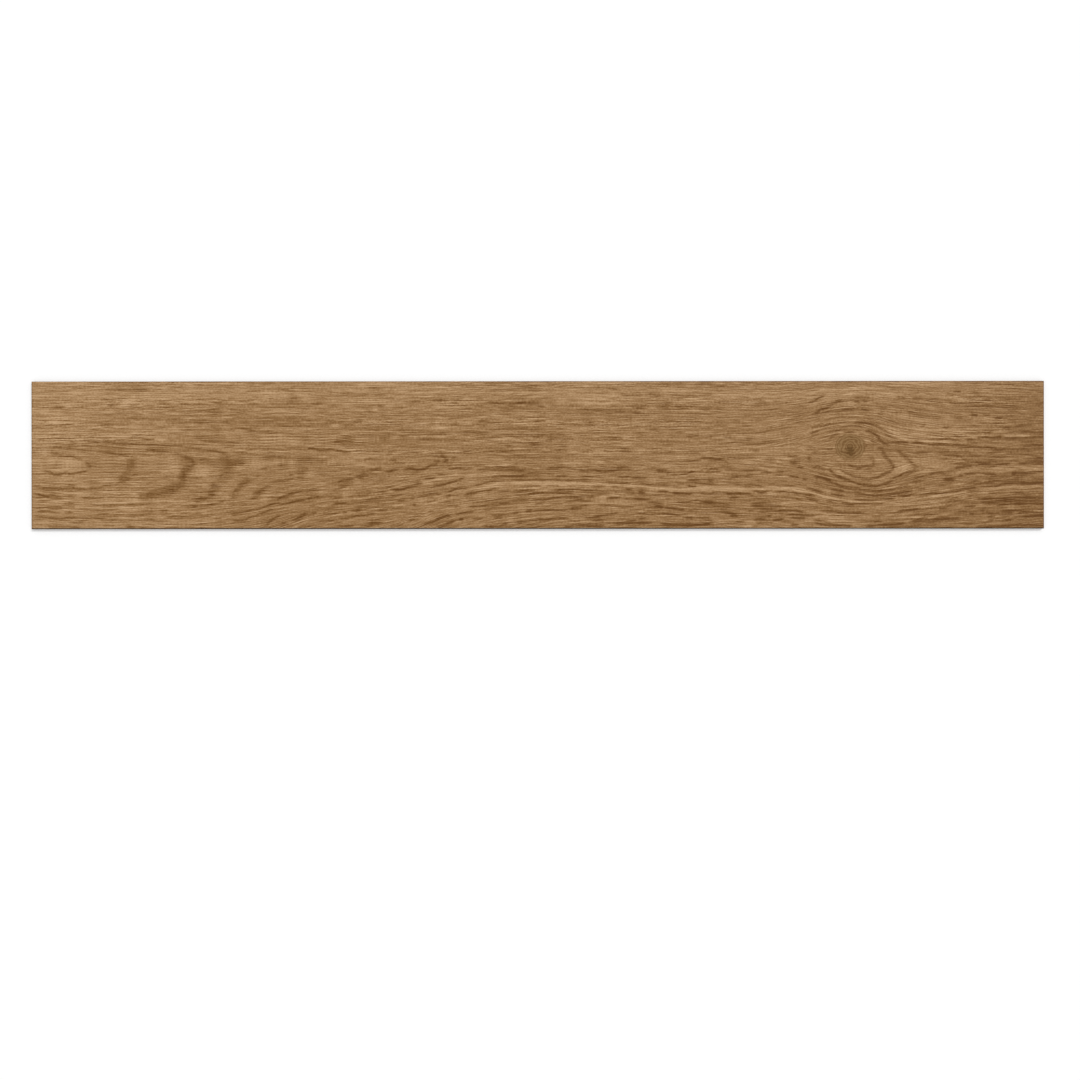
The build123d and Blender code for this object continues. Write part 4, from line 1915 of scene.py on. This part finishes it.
@dataclass
class Plank:
    """The vinyl plank: an embossed wear face, a mitred bevel, square cut edges and a back.

    Args:
        low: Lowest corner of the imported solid, in metres.
        high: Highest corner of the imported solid.
        bevel_width: How far the bevel cuts into the wear face.
        bevel_depth: How far the bevel cuts down.
        columns: Cells of the wear face along the grain.
        rows: Cells of the wear face across the grain.
        coarse: Fine cells to each cell of the back.
        valley: Depth of the embossed grain lines.
        ripple: Depth of the fine streaks between them.
        streak: How those streaks run, in millimetres.
        calm: Width of the rim that is left flat.
        drawing: The print that the face is embossed with.
    """

    low: Vector
    high: Vector
    bevel_width: float = 1.2 * MM
    bevel_depth: float = 0.6 * MM
    columns: int = 560
    rows: int = 168
    coarse: int = 8
    valley: float = 0.12 * MM
    ripple: float = 0.05 * MM
    streak: Fray = Fray(size=1.0, run=30.0, rise=1.9, seed=21)
    calm: float = 2.0 * MM
    drawing: OakDrawing = OakDrawing()

    def build(self) -> Object:
        """Builds the plank's mesh and its printed attributes.

        Returns:
            The plank.
        """
        wear = self.wear_points()
        edge = self.edge()
        back = self.back_points(edge)
        skin = Skin()
        self.face_wear(skin)
        self.face_sides(edge, len(wear), skin)
        self.face_back(len(wear) + len(edge.points), skin)
        mesh = bpy.data.meshes.new("vinyl_plank")
        mesh.from_pydata(np.vstack((wear, edge.points, back)).tolist(), [], skin.faces)
        mesh.polygons.foreach_set("material_index", skin.kinds)
        smooth = np.array(skin.kinds) == Side.WEAR_FACE.value
        mesh.polygons.foreach_set("use_smooth", smooth)
        layer = mesh.uv_layers.new(name="OFBake")
        layer.data.foreach_set("uv", np.vstack(skin.sheet).ravel())
        mesh.update()
        self.store_print(mesh)
        plank = bpy.data.objects.new("vinyl_plank", mesh)
        bpy.context.scene.collection.objects.link(plank)
        return plank

    def dress(self, plank: Object, effects: Effects) -> None:
        """Gives each surface its finish.

        Args:
            plank: The plank.
            effects: The shared node groups.
        """
        finishes = {
            Side.WEAR_FACE: OakPrint("oak_wear_face"),
            Side.BEVEL: OakPrint("oak_bevel", dim=0.34),
            # The near long bevel is the same print in darker tones: painted shade.
            Side.PAINTED_SHADE_BEVEL: OakPrint("oak_near_bevel_painted_shade", dim=0.2, tones=PAINTED_SHADE_TONES),
            Side.CUT_EDGE: FilledVinyl("cut_vinyl", (84, 62, 38), (122, 98, 68)),
            Side.BACK: FilledVinyl("back_vinyl", (74, 66, 58), (104, 96, 86)),
        }
        for side in Side:
            plank.data.materials.append(finishes[side].make(effects))

    def axes(self) -> tuple[ndarray, ndarray]:
        """Gives the places of the wear face's columns and rows, in metres."""
        inset = self.bevel_width
        x = np.linspace(self.low.x + inset, self.high.x - inset, self.columns + 1)
        y = np.linspace(self.low.y + inset, self.high.y - inset, self.rows + 1)
        return x, y

    def wear_points(self) -> ndarray:
        """Shapes the embossed wear face, and gives its points row after row."""
        x, y = self.axes()
        grid_x, grid_y = np.meshgrid(x, y)
        across, up = grid_x.ravel(), grid_y.ravel()
        run = (across - self.low.x) / MM
        rise = up / MM
        flow = self.drawing.flow(run, rise)
        figure = self.drawing.lay(run, rise, Mark.DARK)
        fine = self.streak.shifts(run, flow.even) * (1 - flow.share)
        fine += self.streak.shifts(run, flow.odd) * flow.share
        sunk = self.valley * figure + self.ripple * (0.5 - 0.5 * fine)
        from_side = np.minimum(across - x[0], x[-1] - across)
        from_rim = np.minimum(from_side, np.minimum(up - y[0], y[-1] - up))
        sunk *= ease(from_rim / self.calm)
        return np.column_stack((across, up, self.high.z - sunk))

    def edge(self) -> Edge:
        """Shapes the bevel's lower side and the places of the back's points.

        Returns:
            The way down from the wear face to the back.
        """
        x, y = self.axes()
        x[0], x[-1] = self.low.x, self.high.x
        y[0], y[-1] = self.low.y, self.high.y
        rim = ring(self.columns, self.rows)
        row, column = np.divmod(np.array(rim), self.columns + 1)
        top = np.full(len(rim), self.high.z - self.bevel_depth)
        points = np.column_stack((x[column], y[row], top))
        return Edge(rim, points, x[:: self.coarse], y[:: self.coarse])

    def back_points(self, edge: Edge) -> ndarray:
        """Lays out the points of the flat back under the edge, row after row."""
        across, up = np.meshgrid(edge.foot_x, edge.foot_y)
        level = np.full(across.size, self.low.z)
        return np.column_stack((across.ravel(), up.ravel(), level))

    def face_wear(self, skin: Skin) -> None:
        """Adds the wear face, laid out as two half lengths, one above the other.

        Args:
            skin: Takes the new faces.
        """
        wide = self.columns + 1
        half = self.columns // 2
        row, column = np.divmod(np.arange(self.rows * self.columns), self.columns)
        first = row * wide + column
        corners = np.column_stack((first, first + 1, first + wide + 1, first + wide))
        right = column >= half
        across = (column - np.where(right, half, 0))[:, None] + np.array((0, 1, 1, 0))
        up = (row[:, None] + np.array((0, 0, 1, 1))) / self.rows
        left_spots = LEFT_HALF.spot(across / half, up)
        right_spots = RIGHT_HALF.spot(across / half, up)
        spots = np.where(right[:, None, None], right_spots, left_spots)
        skin.add(Side.WEAR_FACE, corners.tolist(), spots)

    def face_sides(self, edge: Edge, start: int, skin: Skin) -> None:
        """Adds the bevel and the cut edge, side by side round the plank.

        Args:
            edge: The way down from the wear face to the back.
            start: Number of the cut edge's first point.
            skin: Takes the new faces.
        """
        around = len(edge.rim)
        foot = ring(self.columns // self.coarse, self.rows // self.coarse)
        foot = [start + around + number for number in foot]
        begin = 0
        counts = (self.columns, self.rows, self.columns, self.rows)
        for count, slope, wall in zip(counts, SLOPE_STRIPS, WALL_STRIPS):
            # The first long side, the near one, gets the bevel with painted shade.
            bevel = Side.BEVEL if begin else Side.PAINTED_SHADE_BEVEL
            for step in range(count):
                here = begin + step
                on = (here + 1) % around
                corners = [edge.rim[here], start + here, start + on, edge.rim[on]]
                share = np.array((step, step, step + 1, step + 1)) / count
                skin.add(bevel, [corners], slope.spot(share, np.array((1, 0, 0, 1))))
            for step in range(0, count, self.coarse):
                here = (begin + step) // self.coarse
                back = range(self.coarse, -1, -1)
                tops = [start + (begin + step + number) % around for number in back]
                corners = [foot[here], foot[(here + 1) % len(foot)]] + tops
                share = np.array([0, self.coarse] + list(back)) + step
                up = np.array([0, 0] + [1] * len(back))
                skin.add(Side.CUT_EDGE, [corners], wall.spot(share / count, up))
            begin += count

    def face_back(self, start: int, skin: Skin) -> None:
        """Adds the back, facing down.

        Args:
            start: Number of the back's first point.
            skin: Takes the new faces.
        """
        columns = self.columns // self.coarse
        rows = self.rows // self.coarse
        wide = columns + 1
        row, column = np.divmod(np.arange(rows * columns), columns)
        first = start + row * wide + column
        corners = np.column_stack((first, first + wide, first + wide + 1, first + 1))
        across = (column[:, None] + np.array((0, 0, 1, 1))) / columns
        up = (row[:, None] + np.array((0, 1, 1, 0))) / rows
        skin.add(Side.BACK, corners.tolist(), BACK_STRIP.spot(across, up))

    def store_print(self, mesh: Mesh) -> None:
        """Stores the drawn grain on the mesh's points.

        print_place holds millimetres from the left end, millimetres up from the middle line
        and the odd fibre's share. grain_flow holds the run and the two straightened levels.

        Args:
            mesh: The plank's mesh.
        """
        spots = np.empty(3 * len(mesh.vertices))
        mesh.vertices.foreach_get("co", spots)
        spots = spots.reshape(-1, 3)
        run = (spots[:, 0] - self.low.x) / MM
        rise = spots[:, 1] / MM
        flow = self.drawing.flow(run, rise)
        place = np.column_stack((run, rise, flow.share))
        levels = np.column_stack((run, flow.even, flow.odd))
        for name, values in (("print_place", place), ("grain_flow", levels)):
            layer = mesh.attributes.new(name, "FLOAT_VECTOR", "POINT")
            layer.data.foreach_set("vector", values.ravel())
        for mark in Mark:
            layer = mesh.attributes.new(mark.value, "FLOAT", "POINT")
            layer.data.foreach_set("value", self.drawing.lay(run, rise, mark))


# The studio


@dataclass(frozen=True)
class Studio:
    """A white floor under an even white dome, with one soft lamp from the upper right.

    Args:
        floor_side: Side of the floor, in metres.
        floor_white: The floor's own colour, 0 to 1.
        floor_lift: Extra white that only the camera and mirrors see.
        dome: Brightness of the dome's light.
        lamp: The lamp's light on a surface that faces it, as a share of full white.
        lamp_from: Direction to the lamp.
        lamp_spread: How wide the lamp looks, in degrees.
    """

    floor_side: float = 24.0
    floor_white: float = 0.80
    floor_lift: float = 0.22
    dome: float = 0.62
    lamp: float = 0.38
    lamp_from: tuple[float, float, float] = (0.55, 0.60, 1.0)
    lamp_spread: float = 22.0

    def build(self, low: Vector) -> None:
        """Builds the floor at the plank's lowest corner, the dome and the lamp."""
        self.build_floor(low.z)
        self.build_dome()
        self.build_lamp()

    def build_floor(self, height: float) -> None:
        """Lays the floor at a height."""
        half = self.floor_side / 2
        mesh = bpy.data.meshes.new("studio_floor")
        corners = [(-half, -half), (half, -half), (half, half), (-half, half)]
        mesh.from_pydata([(x, y, height) for x, y in corners], [], [(0, 1, 2, 3)])
        floor = bpy.data.objects.new("studio_floor", mesh)
        bpy.context.scene.collection.objects.link(floor)
        material = bpy.data.materials.new("studio_white")
        material.use_nodes = True
        material.node_tree.nodes.clear()
        bench = Bench(material.node_tree)
        matt = bench.place("ShaderNodeBsdfDiffuse")
        white = self.floor_white
        bench.feed(matt.inputs["Color"], (white, white, white, 1.0))
        glow = bench.place("ShaderNodeEmission")
        lift = bench.calc("MULTIPLY", seen(bench), self.floor_lift)
        bench.feed(glow.inputs["Strength"], lift)
        both = bench.place("ShaderNodeAddShader")
        bench.feed(both.inputs[0], matt.outputs[0])
        bench.feed(both.inputs[1], glow.outputs[0])
        output = bench.place("ShaderNodeOutputMaterial")
        bench.feed(output.inputs["Surface"], both.outputs[0])
        mesh.materials.append(material)

    def build_dome(self) -> None:
        """Surrounds the scene with even light, and shows it as plain white."""
        world = bpy.data.worlds.new("studio_dome")
        world.use_nodes = True
        world.node_tree.nodes.clear()
        bench = Bench(world.node_tree)
        light = bench.place("ShaderNodeBackground")
        strength = bench.climb(seen(bench), Ramp(0.0, 1.0, self.dome, 1.0))
        bench.feed(light.inputs["Strength"], strength)
        bench.feed(light.inputs["Color"], WHITE)
        output = bench.place("ShaderNodeOutputWorld")
        bench.feed(output.inputs["Surface"], light.outputs[0])
        bpy.context.scene.world = world

    def build_lamp(self) -> None:
        """Hangs the soft lamp."""
        towards = Vector(self.lamp_from).normalized()
        light = bpy.data.lights.new("soft_lamp", "SUN")
        light.energy = self.lamp * math.pi / towards.z
        light.angle = math.radians(self.lamp_spread)
        lamp = bpy.data.objects.new("soft_lamp", light)
        lamp.rotation_mode = "QUATERNION"
        lamp.rotation_quaternion = towards.to_track_quat("Z", "Y")
        bpy.context.scene.collection.objects.link(lamp)


def seen(bench: Bench) -> NodeSocket:
    """Tells rays that look at a surface from rays that light it.

    Args:
        bench: The nodes that the test goes into.

    Returns:
        One for a ray from the camera, from a mirror or through glass, otherwise nought.
    """
    path = bench.place("ShaderNodeLightPath").outputs
    looks = bench.calc("MAXIMUM", path["Is Camera Ray"], path["Is Glossy Ray"])
    return bench.calc("MAXIMUM", looks, path["Is Transmission Ray"])


@dataclass(frozen=True)
class PhotoCamera:
    """The camera straight above the plank, framed as the photograph is.

    Args:
        lens: Focal length in millimetres.
        sensor: Width of the picture in the camera, in millimetres.
        sight: How far it sees, in metres.
        frame_pixels: Width of the photograph.
        pixel: Size of one pixel on the wear face, in metres.
        aim: The plank's middle in the photograph, in pixels from its top left.
        rise: How far the plank's right end stands higher in the photograph, in pixels.
    """

    lens: float = 35.0
    sensor: float = 36.0
    sight: float = 100.0
    frame_pixels: float = 1080.0
    pixel: float = 1.2038 * MM
    aim: tuple[float, float] = (537.8, 455.0)
    rise: float = 0.75

    def build(self, low: Vector, high: Vector) -> Object:
        """Hangs the camera.

        Args:
            low: Lowest corner of the plank.
            high: Highest corner of the plank.

        Returns:
            The camera.
        """
        data = bpy.data.cameras.new("photo_camera")
        data.lens = self.lens
        data.sensor_width = self.sensor
        data.clip_end = self.sight
        camera = bpy.data.objects.new("photo_camera", data)
        centre = self.frame_pixels / 2
        reach = self.frame_pixels * self.pixel * self.lens / self.sensor
        middle = (low + high) / 2
        camera.location = (
            middle.x + (centre - self.aim[0]) * self.pixel,
            middle.y - (centre - self.aim[1]) * self.pixel,
            high.z + reach,
        )
        length = (high.x - low.x) / self.pixel
        camera.rotation_euler = Euler((0.0, 0.0, -math.atan(self.rise / length)))
        bpy.context.scene.collection.objects.link(camera)
        bpy.context.scene.camera = camera
        return camera


def main() -> None:
    """Builds the plank, the studio and the camera, and reports each."""
    logging.basicConfig(level=logging.INFO, format="%(message)s")
    scene = bpy.context.scene
    scene.view_settings.view_transform = "Standard"
    low, high = (Vector(corner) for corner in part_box("floor_plank"))
    camera = PhotoCamera().build(low, high)
    LOG.info("camera: %.3f m above the floor", camera.location.z)
    maker = Plank(low, high)
    plank = maker.build()
    maker.dress(plank, Effects())
    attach(plank, "root")
    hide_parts("floor_plank")
    LOG.info("plank: %d faces", len(plank.data.polygons))
    Studio().build(low)
    LOG.info("studio: floor, dome and lamp")


if __name__ == "__main__":
    main()
